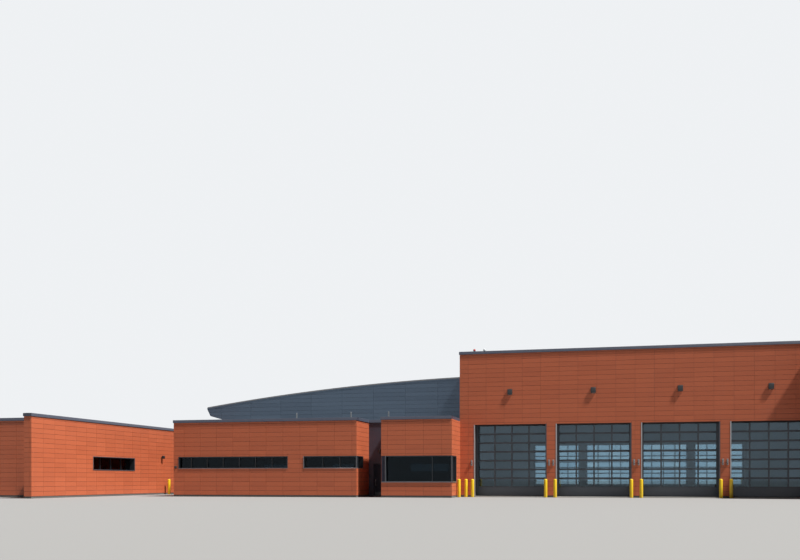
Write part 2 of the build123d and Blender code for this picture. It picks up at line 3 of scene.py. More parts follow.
import bmesh
import bpy
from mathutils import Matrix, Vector


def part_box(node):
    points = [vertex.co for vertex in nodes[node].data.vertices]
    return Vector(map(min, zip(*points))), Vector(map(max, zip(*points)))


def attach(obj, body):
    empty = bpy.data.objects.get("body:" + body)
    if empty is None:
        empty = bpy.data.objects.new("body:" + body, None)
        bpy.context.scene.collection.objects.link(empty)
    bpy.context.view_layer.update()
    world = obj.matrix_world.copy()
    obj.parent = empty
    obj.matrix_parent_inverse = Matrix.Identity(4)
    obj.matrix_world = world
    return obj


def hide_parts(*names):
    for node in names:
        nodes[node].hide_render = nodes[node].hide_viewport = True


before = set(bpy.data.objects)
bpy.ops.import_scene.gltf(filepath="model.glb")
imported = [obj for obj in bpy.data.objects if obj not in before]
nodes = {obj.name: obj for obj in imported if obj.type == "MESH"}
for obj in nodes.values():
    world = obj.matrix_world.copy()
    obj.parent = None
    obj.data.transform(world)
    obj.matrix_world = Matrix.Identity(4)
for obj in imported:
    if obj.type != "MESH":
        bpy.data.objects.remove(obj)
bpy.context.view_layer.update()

print("frame loaded:", len(nodes), "nodes")


# One output of a node, with arithmetic on it. An empty one stands for the tree itself.
class Wire:
    def __init__(self, tree, socket=None):
        self.tree = tree
        self.socket = socket

    def node(self, kind, settings=None, sockets=None, output=0):
        made = self.tree.nodes.new(kind)
        for key, value in (settings or {}).items():
            setattr(made, key, value)
        for key, value in (sockets or {}).items():
            for part in value if isinstance(value, list) else [value]:
                if isinstance(part, Wire):
                    self.tree.links.new(part.socket, made.inputs[key])
                else:
                    made.inputs[key].default_value = part
        return Wire(self.tree, made.outputs[output] if len(made.outputs) else None)

    def other(self, name):
        return Wire(self.tree, self.socket.node.outputs[name])

    def maths(self, operation, first, second=0.0):
        return self.node("ShaderNodeMath", {"operation": operation}, {0: first, 1: second})

    def __add__(self, value):
        return self.maths("ADD", self, value)

    def __radd__(self, value):
        return self.maths("ADD", value, self)

    def __sub__(self, value):
        return self.maths("SUBTRACT", self, value)

    def __rsub__(self, value):
        return self.maths("SUBTRACT", value, self)

    def __mul__(self, value):
        return self.maths("MULTIPLY", self, value)

    def __rmul__(self, value):
        return self.maths("MULTIPLY", value, self)

    def __truediv__(self, value):
        return self.maths("DIVIDE", self, value)

    def __rtruediv__(self, value):
        return self.maths("DIVIDE", value, self)

    def __mod__(self, value):
        return self.maths("FLOORED_MODULO", self, value)

    def __gt__(self, value):
        return self.maths("GREATER_THAN", self, value)

    def __lt__(self, value):
        return self.maths("LESS_THAN", self, value)

    def between(self, first, second):  # two colours, mixed by this value
        mix = {"data_type": "RGBA", "clamp_factor": True}
        return self.node("ShaderNodeMix", mix, {0: self, 6: rgb(first), 7: rgb(second)}, 2)


def rgb(colour):
    return colour if isinstance(colour, Wire) else (*colour, 1.0)


# Where the building's parts stand
def edge(node, side, axis):  # one face of a node's box: side 0 is the low one and 1 the high one
    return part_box(node)[side][axis]


wingLeft, wingRight = edge("wing_left_wall", 0, 0), edge("wing_right_wall", 1, 0)
bladeOfWing, wingBlade = edge("wing_right_wall", 0, 0), edge("wing_right_wall", 0, 1)
wingFront, linkFront = edge("wing_front_wall", 0, 1), edge("link_front_wall", 0, 1)
officeLeft, officeRight = edge("office_front_wall", 0, 0), edge("office_front_wall", 1, 0)
lowFront, lowTop = edge("office_front_wall", 0, 1), edge("office_front_wall", 1, 2)
watchLeft, lowRear = edge("watch_front_wall", 0, 0), edge("rear_wall", 1, 1)
bayLeft, bayRight = edge("bay_left_wall", 0, 0), edge("bay_right_wall", 1, 0)
bladeLeft, doorHead = edge("bay_right_wall", 0, 0), edge("bay_piers", 1, 2)
bayFront, bayRear, bayTop = edge("bay_headers", 0, 1), edge("bay_headers", 1, 1), edge("bay_headers", 1, 2)
hallFront, hallRear = edge("hall_walls", 0, 1), edge("hall_walls", 1, 1)
lowRoof, bayRoof = edge("low_roof", 1, 2), edge("bay_roof", 1, 2)
lowWall, bayWall = 0.17, 0.2  # thickness of the walls

doors = {"first": 0.48, "pitch": 2.743, "width": 2.44, "count": 4, "lite": 0.5811, "liteFrom": 0.0575,
         "section": 0.30125, "floor": 0.03}
firstDoor = bayLeft + doors["first"]
finishes = {}


def startFinish(name):
    finishes[name] = bpy.data.materials.new(name)
    finishes[name].use_nodes = True
    finishes[name].node_tree.nodes.clear()
    return Wire(finishes[name].node_tree)


def closeFinish(sheet, sockets):
    shader = sheet.node("ShaderNodeBsdfPrincipled", {}, sockets)
    sheet.node("ShaderNodeOutputMaterial", {}, {"Surface": shader})


def objectPlace(sheet):
    return sheet.node("ShaderNodeTexCoord", output="Object")


def axesOf(sheet, place):
    x = sheet.node("ShaderNodeSeparateXYZ", {}, {"Vector": place})
    return x, x.other("Y"), x.other("Z")


def cloud(sheet, place, scale, detail=3.0, stretch=None):
    if stretch:
        place = sheet.node("ShaderNodeMapping", {}, {"Vector": place, "Scale": stretch})
    return sheet.node("ShaderNodeTexNoise", {}, {"Vector": place, "Scale": scale, "Detail": detail})


def grained(sheet, grain, strength, depth):
    return sheet.node("ShaderNodeBump", {}, {"Strength": strength, "Distance": depth, "Height": grain})


def scaled(colour, factor):
    return tuple(value * factor for value in colour)


# A coated or plain surface: clouds, rain streaks and a fine grain
def coating(name, look):
    dark, light, cloudScale, grain, (low, high), streak, more = look
    sheet = startFinish(name)
    place = objectPlace(sheet)
    clouds = cloud(sheet, place, cloudScale)
    streaks = cloud(sheet, place, 1.0, 4.0, (14.0, 14.0, 0.5))
    shade = clouds
    if "tone" in more:
        tone = sheet.node("ShaderNodeAttribute", {"attribute_name": more["tone"]}, output="Fac")
        shade = tone * 0.75 + clouds * 0.25
    dirt = (streaks - 0.5) * streak
    closeFinish(sheet, {
        "Base Color": dirt.between(shade.between(dark, light), more.get("dirt", (0.16, 0.14, 0.12))),
        "Roughness": clouds * (high - low) + low,
        "Metallic": more.get("metallic", 0.0),
        "Specular IOR Level": more.get("mirror", 0.5),
        "Normal": grained(sheet, cloud(sheet, place, grain, 2.0), 0.15, 0.0006),
    })


# Each one's darkest and lightest colour, scale of clouds and grain, roughness, streaks and what else it has
looks = {
    "clayPanel": ((0.462, 0.111, 0.046), (0.534, 0.132, 0.055), 1.3, 260.0, (0.42, 0.58), 0.35,
                  {"tone": "panelTone", "dirt": (0.30, 0.10, 0.07)}),
    "hallBoard": ((0.077, 0.110, 0.157), (0.094, 0.133, 0.186), 0.9, 300.0, (0.36, 0.48), 0.25,
                  {"tone": "panelTone", "metallic": 0.6, "dirt": (0.09, 0.10, 0.11)}),
    "hallSeam": ((0.06, 0.082, 0.106), (0.075, 0.10, 0.13), 0.9, 300.0, (0.35, 0.5), 0.25, {}),
    "copingPaint": ((0.036, 0.041, 0.062), (0.046, 0.051, 0.076), 1.7, 320.0, (0.34, 0.5), 0.3, {}),
    "recessPaint": ((0.070, 0.066, 0.092), (0.092, 0.087, 0.118), 2.2, 300.0, (0.4, 0.55), 0.3, {"mirror": 0.2}),
    "doorPaint": ((0.070, 0.082, 0.102), (0.086, 0.10, 0.122), 1.9, 350.0, (0.32, 0.46), 0.2, {}),
    "windowPaint": ((0.020, 0.024, 0.030), (0.030, 0.035, 0.043), 2.5, 350.0, (0.3, 0.45), 0.2, {}),
    "trimMetal": ((0.24, 0.24, 0.26), (0.31, 0.31, 0.33), 4.0, 400.0, (0.34, 0.46), 0.2, {"metallic": 0.3}),
    "leafPaint": ((0.010, 0.010, 0.020), (0.016, 0.016, 0.030), 4.0, 350.0, (0.3, 0.42), 0.1, {"mirror": 0.15}),
    "infillPaint": ((0.026, 0.024, 0.038), (0.034, 0.031, 0.048), 2.2, 300.0, (0.4, 0.55), 0.2, {"mirror": 0.2}),
    "lampPaint": ((0.018, 0.019, 0.021), (0.03, 0.031, 0.034), 8.0, 500.0, (0.3, 0.42), 0.1, {}),
    "guardPaint": ((0.81, 0.53, 0.013), (0.89, 0.61, 0.020), 5.0, 380.0, (0.28, 0.42), 0.25,
                   {"dirt": (0.35, 0.22, 0.06)}),
    "galvanised": ((0.16, 0.175, 0.19), (0.22, 0.235, 0.25), 26.0, 160.0, (0.42, 0.6), 0.2, {"metallic": 0.45}),
    "membrane": ((0.31, 0.31, 0.30), (0.38, 0.38, 0.37), 0.7, 120.0, (0.7, 0.85), 0.15, {}),
    "membraneSheet": ((0.32, 0.32, 0.31), (0.40, 0.40, 0.39), 0.7, 120.0, (0.7, 0.85), 0.15, {"tone": "panelTone"}),
    "fasciaPaint": ((0.135, 0.135, 0.14), (0.165, 0.16, 0.16), 2.0, 320.0, (0.32, 0.45), 0.2, {}),
    "sealant": ((0.016, 0.017, 0.019), (0.026, 0.027, 0.03), 6.0, 300.0, (0.55, 0.7), 0.2, {}),
    "paleMetal": ((0.52, 0.53, 0.54), (0.66, 0.67, 0.68), 20.0, 500.0, (0.3, 0.4), 0.1, {"metallic": 0.2}),
    "lampLens": ((0.62, 0.62, 0.58), (0.74, 0.74, 0.70), 20.0, 600.0, (0.2, 0.3), 0.1, {}),
    "signalPaint": ((0.24, 0.24, 0.245), (0.30, 0.30, 0.305), 12.0, 500.0, (0.34, 0.46), 0.1, {}),
    "smokedLens": ((0.03, 0.010, 0.010), (0.05, 0.014, 0.012), 30.0, 700.0, (0.12, 0.2), 0.1, {}),
    "redLens": ((0.42, 0.012, 0.010), (0.58, 0.020, 0.014), 40.0, 700.0, (0.12, 0.2), 0.1, {}),
    "paleLens": ((0.66, 0.68, 0.70), (0.78, 0.80, 0.82), 40.0, 700.0, (0.12, 0.2), 0.1, {}),
    "slabConcrete": ((0.34, 0.33, 0.31), (0.44, 0.43, 0.41), 1.4, 140.0, (0.55, 0.75), 0.1, {}),
}
for name, look in looks.items():
    coating(name, look)

# Painted light and shade on the jamb metal, as seen from outside: each door's left jamb is painted bright, as if
# sunlit, and its right one dark, as if in shade
jamb = {"litJamb": (0.36, 0.36, 0.37), "shadedJamb": (0.07, 0.07, 0.08)}
sheet = startFinish("jambPaint")
place = objectPlace(sheet)
x, y = axesOf(sheet, place)[:2]
# the mask of the jambs that get the painted shade: right-hand ones at the front, left-hand ones at the rear
ahead = (x - firstDoor) % doors["pitch"] > doors["width"] / 2
shadedJambMask = ahead - (y > 0.0)
clouds = cloud(sheet, place, 5.0)
# the painted sunlit copy of the metal; the masked jambs get the painted shade colour instead
litJamb = clouds.between(jamb["litJamb"], scaled(jamb["litJamb"], 1.2))
closeFinish(sheet, {
    "Base Color": shadedJambMask.maths("ABSOLUTE", shadedJambMask).between(litJamb, jamb["shadedJamb"]),
    "Roughness": clouds * 0.15 + 0.32,
    "Metallic": 0.3,
    "Normal": grained(sheet, cloud(sheet, place, 300.0), 0.1, 0.0005),
})

# The doors' glass, which mirrors a little more in some panes than in others
doorPane = {"tint": (0.44, 0.57, 0.64), "ior": 1.6, "mirror": 0.35}
sheet = startFinish("doorGlass")
place = objectPlace(sheet)
x, z = axesOf(sheet, place)[::2]
span = x - firstDoor
counted = {"X": (span % doors["pitch"] - doors["liteFrom"]) / doors["lite"],
           "Y": (z - doors["floor"]) / doors["section"], "Z": span / doors["pitch"]}
cell = sheet.node("ShaderNodeCombineXYZ", {}, {axis: part.maths("FLOOR", part) for axis, part in counted.items()})
chance = sheet.node("ShaderNodeTexWhiteNoise", {"noise_dimensions": "3D"}, {"Vector": cell})
closeFinish(sheet, {
    "Base Color": chance.between(doorPane["tint"], scaled(doorPane["tint"], 0.86)),
    "Roughness": cloud(sheet, place, 1.4, 2.0, (1.0, 1.0, 0.7)) * 0.02 + 0.01,
    "Transmission Weight": 1.0,
    "Specular Tint": rgb((0.72, 0.88, 1.0)),
    "Coat Weight": chance * doorPane["mirror"],
    "Coat Tint": rgb((0.8, 0.92, 1.0)),
    "IOR": doorPane["ior"],
})

roomPane = {"tint": (0.05, 0.08, 0.10), "ior": 1.26}
sheet = startFinish("roomGlass")
haze = cloud(sheet, objectPlace(sheet), 1.1, 2.0, (1.0, 1.0, 0.6))
closeFinish(sheet, {
    "Base Color": haze.between(roomPane["tint"], scaled(roomPane["tint"], 0.9)),
    "Roughness": haze * 0.02 + 0.01,
    "Transmission Weight": 1.0,
    "Specular Tint": rgb((0.72, 0.88, 1.0)),
    "IOR": roomPane["ior"],
})

# The walls behind the panels: dark in the joints and reveals, pale on the room side, concrete at the foot.
# Boxes hold the rooms, each as its low and high corner, a hair beyond the walls' inner faces.
core = {"cavity": ((0.060, 0.034, 0.030), (0.085, 0.046, 0.038)), "foot": ((0.10, 0.095, 0.09), (0.15, 0.145, 0.135)),
        "lining": ((0.46, 0.46, 0.44), (0.54, 0.54, 0.52)), "footHeight": 0.062, "hair": 0.001, "end": 0.549,
        "under": 2.565, "top": 4.83, "through": 0.18}
hair, endIn, under, top, through = (core[key] for key in ("hair", "end", "under", "top", "through"))
lowIn, bayIn = lowWall - hair, bayWall - hair
rooms = [
    ((bayLeft + bayIn, bayFront + endIn, -1), (bladeLeft + hair, bayRear - endIn, top)),
    ((bayLeft + bayIn, bayFront + bayIn, bayRoof), (bladeLeft + hair, bayRear - bayIn, top)),
    ((officeLeft + lowIn, bayFront + lowIn, -1), (bayLeft - hair, lowRear - lowIn, under)),
    ((officeLeft + lowIn, lowFront + lowIn, -1), (officeRight - lowIn, bayFront + through, under)),
    ((watchLeft + lowIn, lowFront + lowIn, -1), (bayLeft - lowIn, bayFront + through, under)),
    ((bladeOfWing - hair, linkFront + lowIn, -1), (officeLeft + through, lowRear - lowIn, under)),
    ((wingLeft + lowIn, wingFront + lowIn, -1), (bladeOfWing + hair, lowRear - lowIn, under)),
]
sheet = startFinish("wallCore")
place = objectPlace(sheet)
axes = axesOf(sheet, place)
lined = None
for low, high in rooms:
    here = None
    for part, least, most in zip(axes, low, high):
        inside = (part > least) * (part < most)
        here = inside if here is None else here * inside
    lined = here if lined is None else lined.maths("MAXIMUM", lined, here)
clouds = cloud(sheet, place, 2.0)
cavity, foot, lining = (clouds.between(*core[part]) for part in ("cavity", "foot", "lining"))
closeFinish(sheet, {
    "Base Color": lined.between((axes[2] < core["footHeight"]).between(cavity, foot), lining),
    "Roughness": clouds * 0.2 + 0.6,
    "Normal": grained(sheet, cloud(sheet, place, 90.0), 0.2, 0.001),
})
print("finishes made:", len(finishes))

dressed = {
    "wallCore": "bay_piers bay_headers bay_left_wall bay_right_wall office_front_wall office_side_walls "
                "watch_front_wall watch_side_walls wing_right_wall wing_front_wall wing_left_wall link_front_wall "
                "rear_wall",
    "hallSeam": "hall_walls hall_belly",
    "copingPaint": "bay_coping low_coping",
    "hallBoard": "hall_roof",
    "recessPaint": "recess_side_walls recess_head_wall",
    "membrane": "bay_roof low_roof",
    "slabConcrete": "bay_floor ground_floor recess_threshold",
    "doorPaint": "bay_front_door_1 bay_front_door_2 bay_front_door_3 bay_front_door_4 bay_rear_doors",
    "windowPaint": "office_window_frames watch_window_frame side_window_frames",
    "infillPaint": "watch_window_infill",
    "jambPaint": "bay_jamb_trims",
    "trimMetal": "watch_sill recess_door_handle bay_signal_lights",
    "leafPaint": "recess_door recess_door_frame",
    "lampPaint": "bay_wall_lights small_wall_lights",
    "guardPaint": "bollards",
    "galvanised": "roof_vents roof_beacons",
    "doorGlass": "bay_door_glass",
    "roomGlass": "office_window_glass watch_window_glass side_window_glass",
}
for finish, names in dressed.items():
    for name in names.split():
        slots = nodes[name].data.materials
        slots.clear()
        slots.append(finishes[finish])
print("nodes dressed:", sum(len(names.split()) for names in dressed.values()))


def pairs(values):
    return zip(values, values[1:])


def newObject(name, data):
    made = bpy.data.objects.new(name, data)
    bpy.context.scene.collection.objects.link(made)
    return made


def newMesh(name, points, edges=(), faces=()):
    mesh = bpy.data.meshes.new(name)
    mesh.from_pydata(points, edges, faces)
    return mesh


def addPiece(name, mesh, replaced=(), body="building"):
    piece = newObject(name, mesh)
    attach(piece, body)
    for hidden in replaced:
        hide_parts(hidden)


# Geometry trees and what grows from them
def startTree(name, inputs):
    tree = bpy.data.node_groups.new(name, "GeometryNodeTree")
    inputs = {"Geometry": "Geometry", **inputs}
    for label, kind in inputs.items():
        tree.interface.new_socket(label, in_out="INPUT", socket_type="NodeSocket" + kind)
    tree.interface.new_socket("Geometry", in_out="OUTPUT", socket_type="NodeSocketGeometry")
    entry = tree.nodes.new("NodeGroupInput")
    return Wire(tree), {label: Wire(tree, entry.outputs[label]) for label in inputs}


def closeTree(sheet, geometry, material):
    plain = sheet.node("GeometryNodeRealizeInstances", {}, {"Geometry": geometry})
    painted = sheet.node("GeometryNodeSetMaterial", {}, {"Geometry": plain, "Material": material})
    sheet.node("NodeGroupOutput", {}, {"Geometry": painted})
    return sheet.tree


def grow(tree, mesh, values):  # the tree's result on a mesh, as a plain mesh
    carrier = newObject("carrier", mesh)
    modifier = carrier.modifiers.new("grow", "NODES")
    modifier.node_group = tree
    for item in tree.interface.items_tree:
        if item.in_out == "INPUT" and item.name in values:
            modifier[item.identifier] = values[item.name]
    depsgraph = bpy.context.evaluated_depsgraph_get()
    grown = bpy.data.meshes.new_from_object(carrier.evaluated_get(depsgraph), depsgraph=depsgraph)
    bpy.data.objects.remove(carrier)
    return grown


def attribute(sheet, name, kind="FLOAT"):
    return sheet.node("GeometryNodeInputNamedAttribute", {"data_type": kind}, {"Name": name})


def randomValue(sheet, low, high, seed):
    return sheet.node("FunctionNodeRandomValue", {"data_type": "FLOAT"}, {2: low, 3: high, "Seed": seed}, 1)


weld = 0.00002  # points nearer than this become one

# Flat cells become boards: a random tone and a slight unevenness each, with small chamfers
sheet, entry = startTree("boardTree", {
    "Depth": "Float", "Edge": "Float", "Side": "Float", "Uneven": "Float", "Seed": "Int", "Finish": "Material",
})
width, height = attribute(sheet, "cellWidth"), attribute(sheet, "cellHeight")
lengthwise = attribute(sheet, "cellAxis", "FLOAT_VECTOR")
toned = sheet.node("GeometryNodeStoreNamedAttribute", {"data_type": "FLOAT", "domain": "FACE"}, {
    "Geometry": entry["Geometry"], "Name": "panelTone", "Value": randomValue(sheet, 0.0, 1.0, entry["Seed"]),
})
depth = entry["Depth"] - entry["Edge"] - entry["Uneven"] * attribute(sheet, "panelTone")
raised = sheet.node("GeometryNodeExtrudeMesh", {"mode": "FACES"}, {
    "Mesh": toned, "Offset Scale": depth, "Individual": True,
})
lid = sheet.node("GeometryNodeExtrudeMesh", {"mode": "FACES"}, {
    "Mesh": raised, "Selection": raised.other("Top"), "Offset Scale": entry["Edge"], "Individual": True,
})
lidTop, facing = lid.other("Top"), sheet.node("GeometryNodeInputNormal")
across = sheet.node("ShaderNodeVectorMath", {"operation": "CROSS_PRODUCT"}, {0: facing, 1: lengthwise})
for inset, span, axis in (("Side", width, lengthwise), ("Edge", height, across)):
    lid = sheet.node("GeometryNodeScaleElements", {"domain": "FACE", "scale_mode": "SINGLE_AXIS"}, {
        "Geometry": lid, "Selection": lidTop, "Scale": 1.0 - 2.0 * entry[inset] / span, "Axis": axis,
    })
backs = sheet.node("GeometryNodeFlipFaces", {}, {"Mesh": toned})
joined = sheet.node("GeometryNodeJoinGeometry", {}, {"Geometry": [lid, backs]})
closed = sheet.node("GeometryNodeMergeByDistance", {}, {"Geometry": joined, "Distance": weld})
boardTree = closeTree(sheet, closed, entry["Finish"])

# Edges become bars with one section: its first axis points right of the way, its second one down
sheet, entry = startTree("barTree", {"Section": "Object", "Finish": "Material"})
section = sheet.node("GeometryNodeObjectInfo", {}, {"Object": entry["Section"]}).other("Geometry")
way = sheet.node("GeometryNodeMeshToCurve", {}, {"Mesh": entry["Geometry"]})
way = sheet.node("GeometryNodeSetCurveNormal", {"mode": "Z_UP"}, {"Curve": way})
ring = sheet.node("GeometryNodeMeshToCurve", {}, {"Mesh": section})
bar = sheet.node("GeometryNodeCurveToMesh", {}, {"Curve": way, "Profile Curve": ring, "Fill Caps": True})
barTree = closeTree(sheet, bar, entry["Finish"])

# A fixture on every point, turned by the point's own angle and a little at random
sheet, entry = startTree("spreadTree", {
    "Fixture": "Object", "Wander": "Float", "Seed": "Int", "Finish": "Material",
})
fixture = sheet.node("GeometryNodeObjectInfo", {}, {"Object": entry["Fixture"]}).other("Geometry")
wander = randomValue(sheet, entry["Wander"] * -1.0, entry["Wander"], entry["Seed"])
turn = sheet.node("ShaderNodeCombineXYZ", {}, {"Z": attribute(sheet, "aim") + wander})
placed = sheet.node("GeometryNodeInstanceOnPoints", {}, {
    "Points": entry["Geometry"], "Instance": fixture, "Rotation": turn,
})
spreadTree = closeTree(sheet, placed, entry["Finish"])


def bars(name, ways, section, finish):
    points, edges = [], []
    for way in ways:
        edges += [(len(points) + k, len(points) + k + 1) for k in range(len(way) - 1)]
        points += [tuple(point) for point in way]
    count = len(section)
    outline = newMesh("outline", [(a, b, 0.0) for a, b in section], [(k, (k + 1) % count) for k in range(count)])
    lent = newObject("lent", outline)
    grown = grow(barTree, newMesh(name, points, edges), {"Section": lent, "Finish": finishes[finish]})
    bpy.data.objects.remove(lent)
    shape = bmesh.new()
    shape.from_mesh(grown)
    bmesh.ops.recalc_face_normals(shape, faces=shape.faces)
    shape.to_mesh(grown)
    shape.free()
    return grown


def addBars(name, ways, section, finish):
    addPiece(name, bars(name, ways, section, finish))


def spread(name, fixture, places, finish, wander=0.0, seed=5):  # places are (x, y, z, degrees)
    mesh = newMesh(name, [tuple(spot[:3]) for spot in places])
    layer = mesh.attributes.new("aim", "FLOAT", "POINT")
    layer.data.foreach_set("value", [radians(spot[3]) for spot in places])
    lent = newObject("lent", fixture.mesh(name))
    grown = grow(spreadTree, mesh, {"Fixture": lent, "Wander": wander, "Seed": seed, "Finish": finishes[finish]})
    bpy.data.objects.remove(lent)
    return grown


def addSpread(name, fixture, places, finish, replaced=(), wander=0.0, seed=5):
    addPiece(name, spread(name, fixture, places, finish, wander, seed), replaced)


def joinMeshes(name, meshes, finish):
    shape = bmesh.new()
    for mesh in meshes:
        shape.from_mesh(mesh)
    made = bpy.data.meshes.new(name)
    shape.to_mesh(made)
    shape.free()
    made.materials.clear()
    made.materials.append(finishes[finish])
    return made


# Solids that make one fixture: turned ones along an axis and blocks with eased edges
class Fixture:
    def __init__(self):
        self.shape = bmesh.new()

    def walls(self, rings):
        for low, high in pairs(rings):
            sides = max(len(low), len(high))
            for k in range(sides):
                after = (k + 1) % sides
                around = [low[k % len(low)], low[after % len(low)], high[after % len(high)], high[k % len(high)]]
                self.shape.faces.new(list(dict.fromkeys(around)))

    def turn(self, outline, sides, centre=(0.0, 0.0, 0.0), axis="Z"):
        basis = Vector({"Y": (0, -1, 0), "Z": (0, 0, 1)}[axis]).to_track_quat("Z", "Y")
        rings = []
        for radius, height in outline:
            angles = [2 * pi * k / sides for k in range(sides)] if radius > 0 else [0.0]
            spots = [Vector((radius * cos(angle), radius * sin(angle), height)) for angle in angles]
            rings.append([self.shape.verts.new(basis @ spot + Vector(centre)) for spot in spots])
        self.walls(rings)
        return self

    def block(self, low, high, ease=0.0, steps=1):
        made = bmesh.ops.create_cube(self.shape, size=1.0)["verts"]
        for corner in made:
            corner.co = [(a + b) / 2 + value * (b - a) for value, a, b in zip(corner.co, low, high)]
        if ease:
            edges = list(dict.fromkeys(line for corner in made for line in corner.link_edges))
            bmesh.ops.bevel(self.shape, geom=edges, offset=ease, segments=steps, profile=0.5, affect="EDGES")
        return self

    def tube(self, way, radius, sides):  # a round bar along a way in one plane of constant x
        rings, level = [], Vector((1, 0, 0))
        angles = [2 * pi * k / sides for k in range(sides)]
        for index, spot in enumerate(way):
            ahead = Vector(way[min(index + 1, len(way) - 1)]) - Vector(way[max(index - 1, 0)])
            side = level.cross(ahead.normalized())
            ring = [Vector(spot) + radius * (cos(angle) * level + sin(angle) * side) for angle in angles]
            rings.append([self.shape.verts.new(corner) for corner in ring])
        self.walls(rings)
        self.shape.faces.new(rings[0])
        self.shape.faces.new(rings[-1])
        return self

    def mesh(self, name, finish=None):
        bmesh.ops.recalc_face_normals(self.shape, faces=self.shape.faces)
        made = bpy.data.meshes.new(name)
        self.shape.to_mesh(made)
        self.shape.free()
        made.shade_smooth()
        made.set_sharp_from_angle(angle=radians(32.0))
        if finish:
            made.materials.append(finishes[finish])
        return made


# Cells: rectangles less holes, cut by the joints
def without(cell, hole):
    left, right, low, high = cell
    holeLeft, holeRight, holeLow, holeHigh = hole
    if holeRight <= left or holeLeft >= right or holeHigh <= low or holeLow >= high:
        return [cell]
    rest = [(left, holeLeft, low, high), (holeRight, right, low, high)]
    inside = (max(left, holeLeft), min(right, holeRight))
    rest += [(*inside, low, holeLow), (*inside, holeHigh, high)]
    return [part for part in rest if part[1] > part[0] and part[3] > part[2]]


def gridLines(low, high, phase, pitch):
    first = ceil((low - phase) / pitch + 0.05)
    last = floor((high - phase) / pitch - 0.05)
    return [low] + [phase + index * pitch for index in range(first, last + 1)] + [high]


def cutCell(cell, holes, look):  # what the holes and the joints leave of one cell
    parts = [cell]
    for hole in holes:
        parts = [rest for part in parts for rest in without(part, hole)]
    upright, level = look["upright"] / 2, look["level"] / 2
    trimmed = [(a + upright, b - upright, c + level, e - level) for a, b, c, e in parts]
    return [(a, b, c, e) for a, b, c, e in trimmed if b - a > look["least"] and e - c > look["least"]]


# Cells of one flat front from start to end, both seen from outside with start at the left
def facadeCells(start, end, heights, look, holes=(), phase=0.0, extra=(0.0, 0.0)):
    start, end = Vector((*start, 0.0)), Vector((*end, 0.0))
    along = (end - start).normalized()
    columns = gridLines(-extra[0], (end - start).length + extra[1], phase, look["width"])
    rows = gridLines(*heights, heights[0], look["course"])
    made = []
    for left, right in pairs(columns):
        for bottom, top in pairs(rows):
            for a, b, c, e in cutCell((left, right, bottom, top), holes, look):
                corners = [start + along * u + Vector((0, 0, z)) for u, z in ((a, c), (b, c), (b, e), (a, e))]
                made.append((corners, along, b - a, e - c))
    return made


def cellMesh(name, cells):  # cells are (corners, lengthwise axis, width, height)
    points, faces = [], []
    for cell in cells:
        faces.append(list(range(len(points), len(points) + len(cell[0]))))
        points += cell[0]
    mesh = newMesh(name, points, (), faces)
    for label, kind, values in (
        ("cellWidth", "FLOAT", [cell[2] for cell in cells]),
        ("cellHeight", "FLOAT", [cell[3] for cell in cells]),
        ("cellAxis", "FLOAT_VECTOR", [number for cell in cells for number in cell[1]]),
    ):
        layer = mesh.attributes.new(label, kind, "FACE")
        layer.data.foreach_set("vector" if kind == "FLOAT_VECTOR" else "value", values)
    return mesh


def addBoards(name, cells, look, finish):
    values = {key.capitalize(): look[key] for key in ("depth", "edge", "side", "uneven", "seed")}
    addPiece(name, grow(boardTree, cellMesh(name, cells), {**values, "Finish": finishes[finish]}))


# The wall panels, with the openings as (start, end, sill, head) along each front
board = {"width": 0.61, "course": 0.1525, "upright": 0.0042, "level": 0.0074, "least": 0.012, "side": 0.0008,
         "depth": 0.010, "edge": 0.0025, "uneven": 0.0012, "foot": 0.062, "seed": 11, "phase": 9.225}
windows = {"band": (0.975, 1.375), "first": (0.18, 4.22), "second": (4.795, 6.7), "wrap": 0.75,
           "watch": (0.5, 1.368), "wing": (3.45, 6.25), "wingBand": (0.925, 1.385),
           "rear": (1.6, 5.6, 9.6, 13.6), "rearWidth": 2.02}
deep = board["depth"]  # a front reaches this far past an outer corner
short = board["depth"] + board["upright"]  # and stops this far before an inner one
flush, bayRun, lowRun = (0.0, 0.0), bayRight - bayLeft, bayLeft - wingLeft
band, wrap = windows["band"], windows["wrap"]


def wallCells(top, faces):  # fronts that face -Y share the upright joints of the engine bay's front
    cells = []
    for start, end, holes, extra in faces:
        phase = board["phase"] - start[0] if start[0] < end[0] else 0.0
        cells += facadeCells(start, end, (board["foot"], top), board, holes, phase, extra)
    return cells


doorHoles = [(start, start + doors["width"], -1.0, doorHead) for start in (
    doors["first"] + index * doors["pitch"] for index in range(doors["count"])
)]
# What stands against the bay's left side: the low block, its coping at the rear and the front, and the hall
beside = {"lowTop": 2.53, "copingTop": 2.68, "rearCoping": 0.24, "frontCoping": 0.22, "past": 0.04, "hallTop": 4.315,
          "hallGap": 0.03}
besideLow, bayDepth = bayRear - lowRear, bayRear - bayFront
bayCells = wallCells(bayTop, [
    ((bayLeft, bayFront), (bladeLeft, bayFront), doorHoles, (deep, -short)),
    ((bladeLeft, lowFront), (bayRight, lowFront), (), (deep, deep)),
    ((bladeLeft, bayFront), (bladeLeft, lowFront), (), flush),
    ((bayRight, lowFront), (bayRight, bayRear), (), flush),
    ((bayRight, bayRear), (bayLeft, bayRear), [(bayRun - b, bayRun - a, c, e) for a, b, c, e in doorHoles],
     (deep, deep)),
    ((bayLeft, bayRear), (bayLeft, bayFront), [
        (besideLow, bayDepth + 1, -1.0, beside["lowTop"]),
        (besideLow - beside["past"], besideLow + beside["rearCoping"], -1.0, beside["copingTop"]),
        (bayDepth - beside["frontCoping"], bayDepth + 1, -1.0, beside["copingTop"]),
        (bayRear - hallRear - beside["hallGap"], bayRear - hallFront + beside["hallGap"], -1.0, beside["hallTop"]),
    ], flush),
])
addBoards("bay_panels", bayCells, board, "clayPanel")

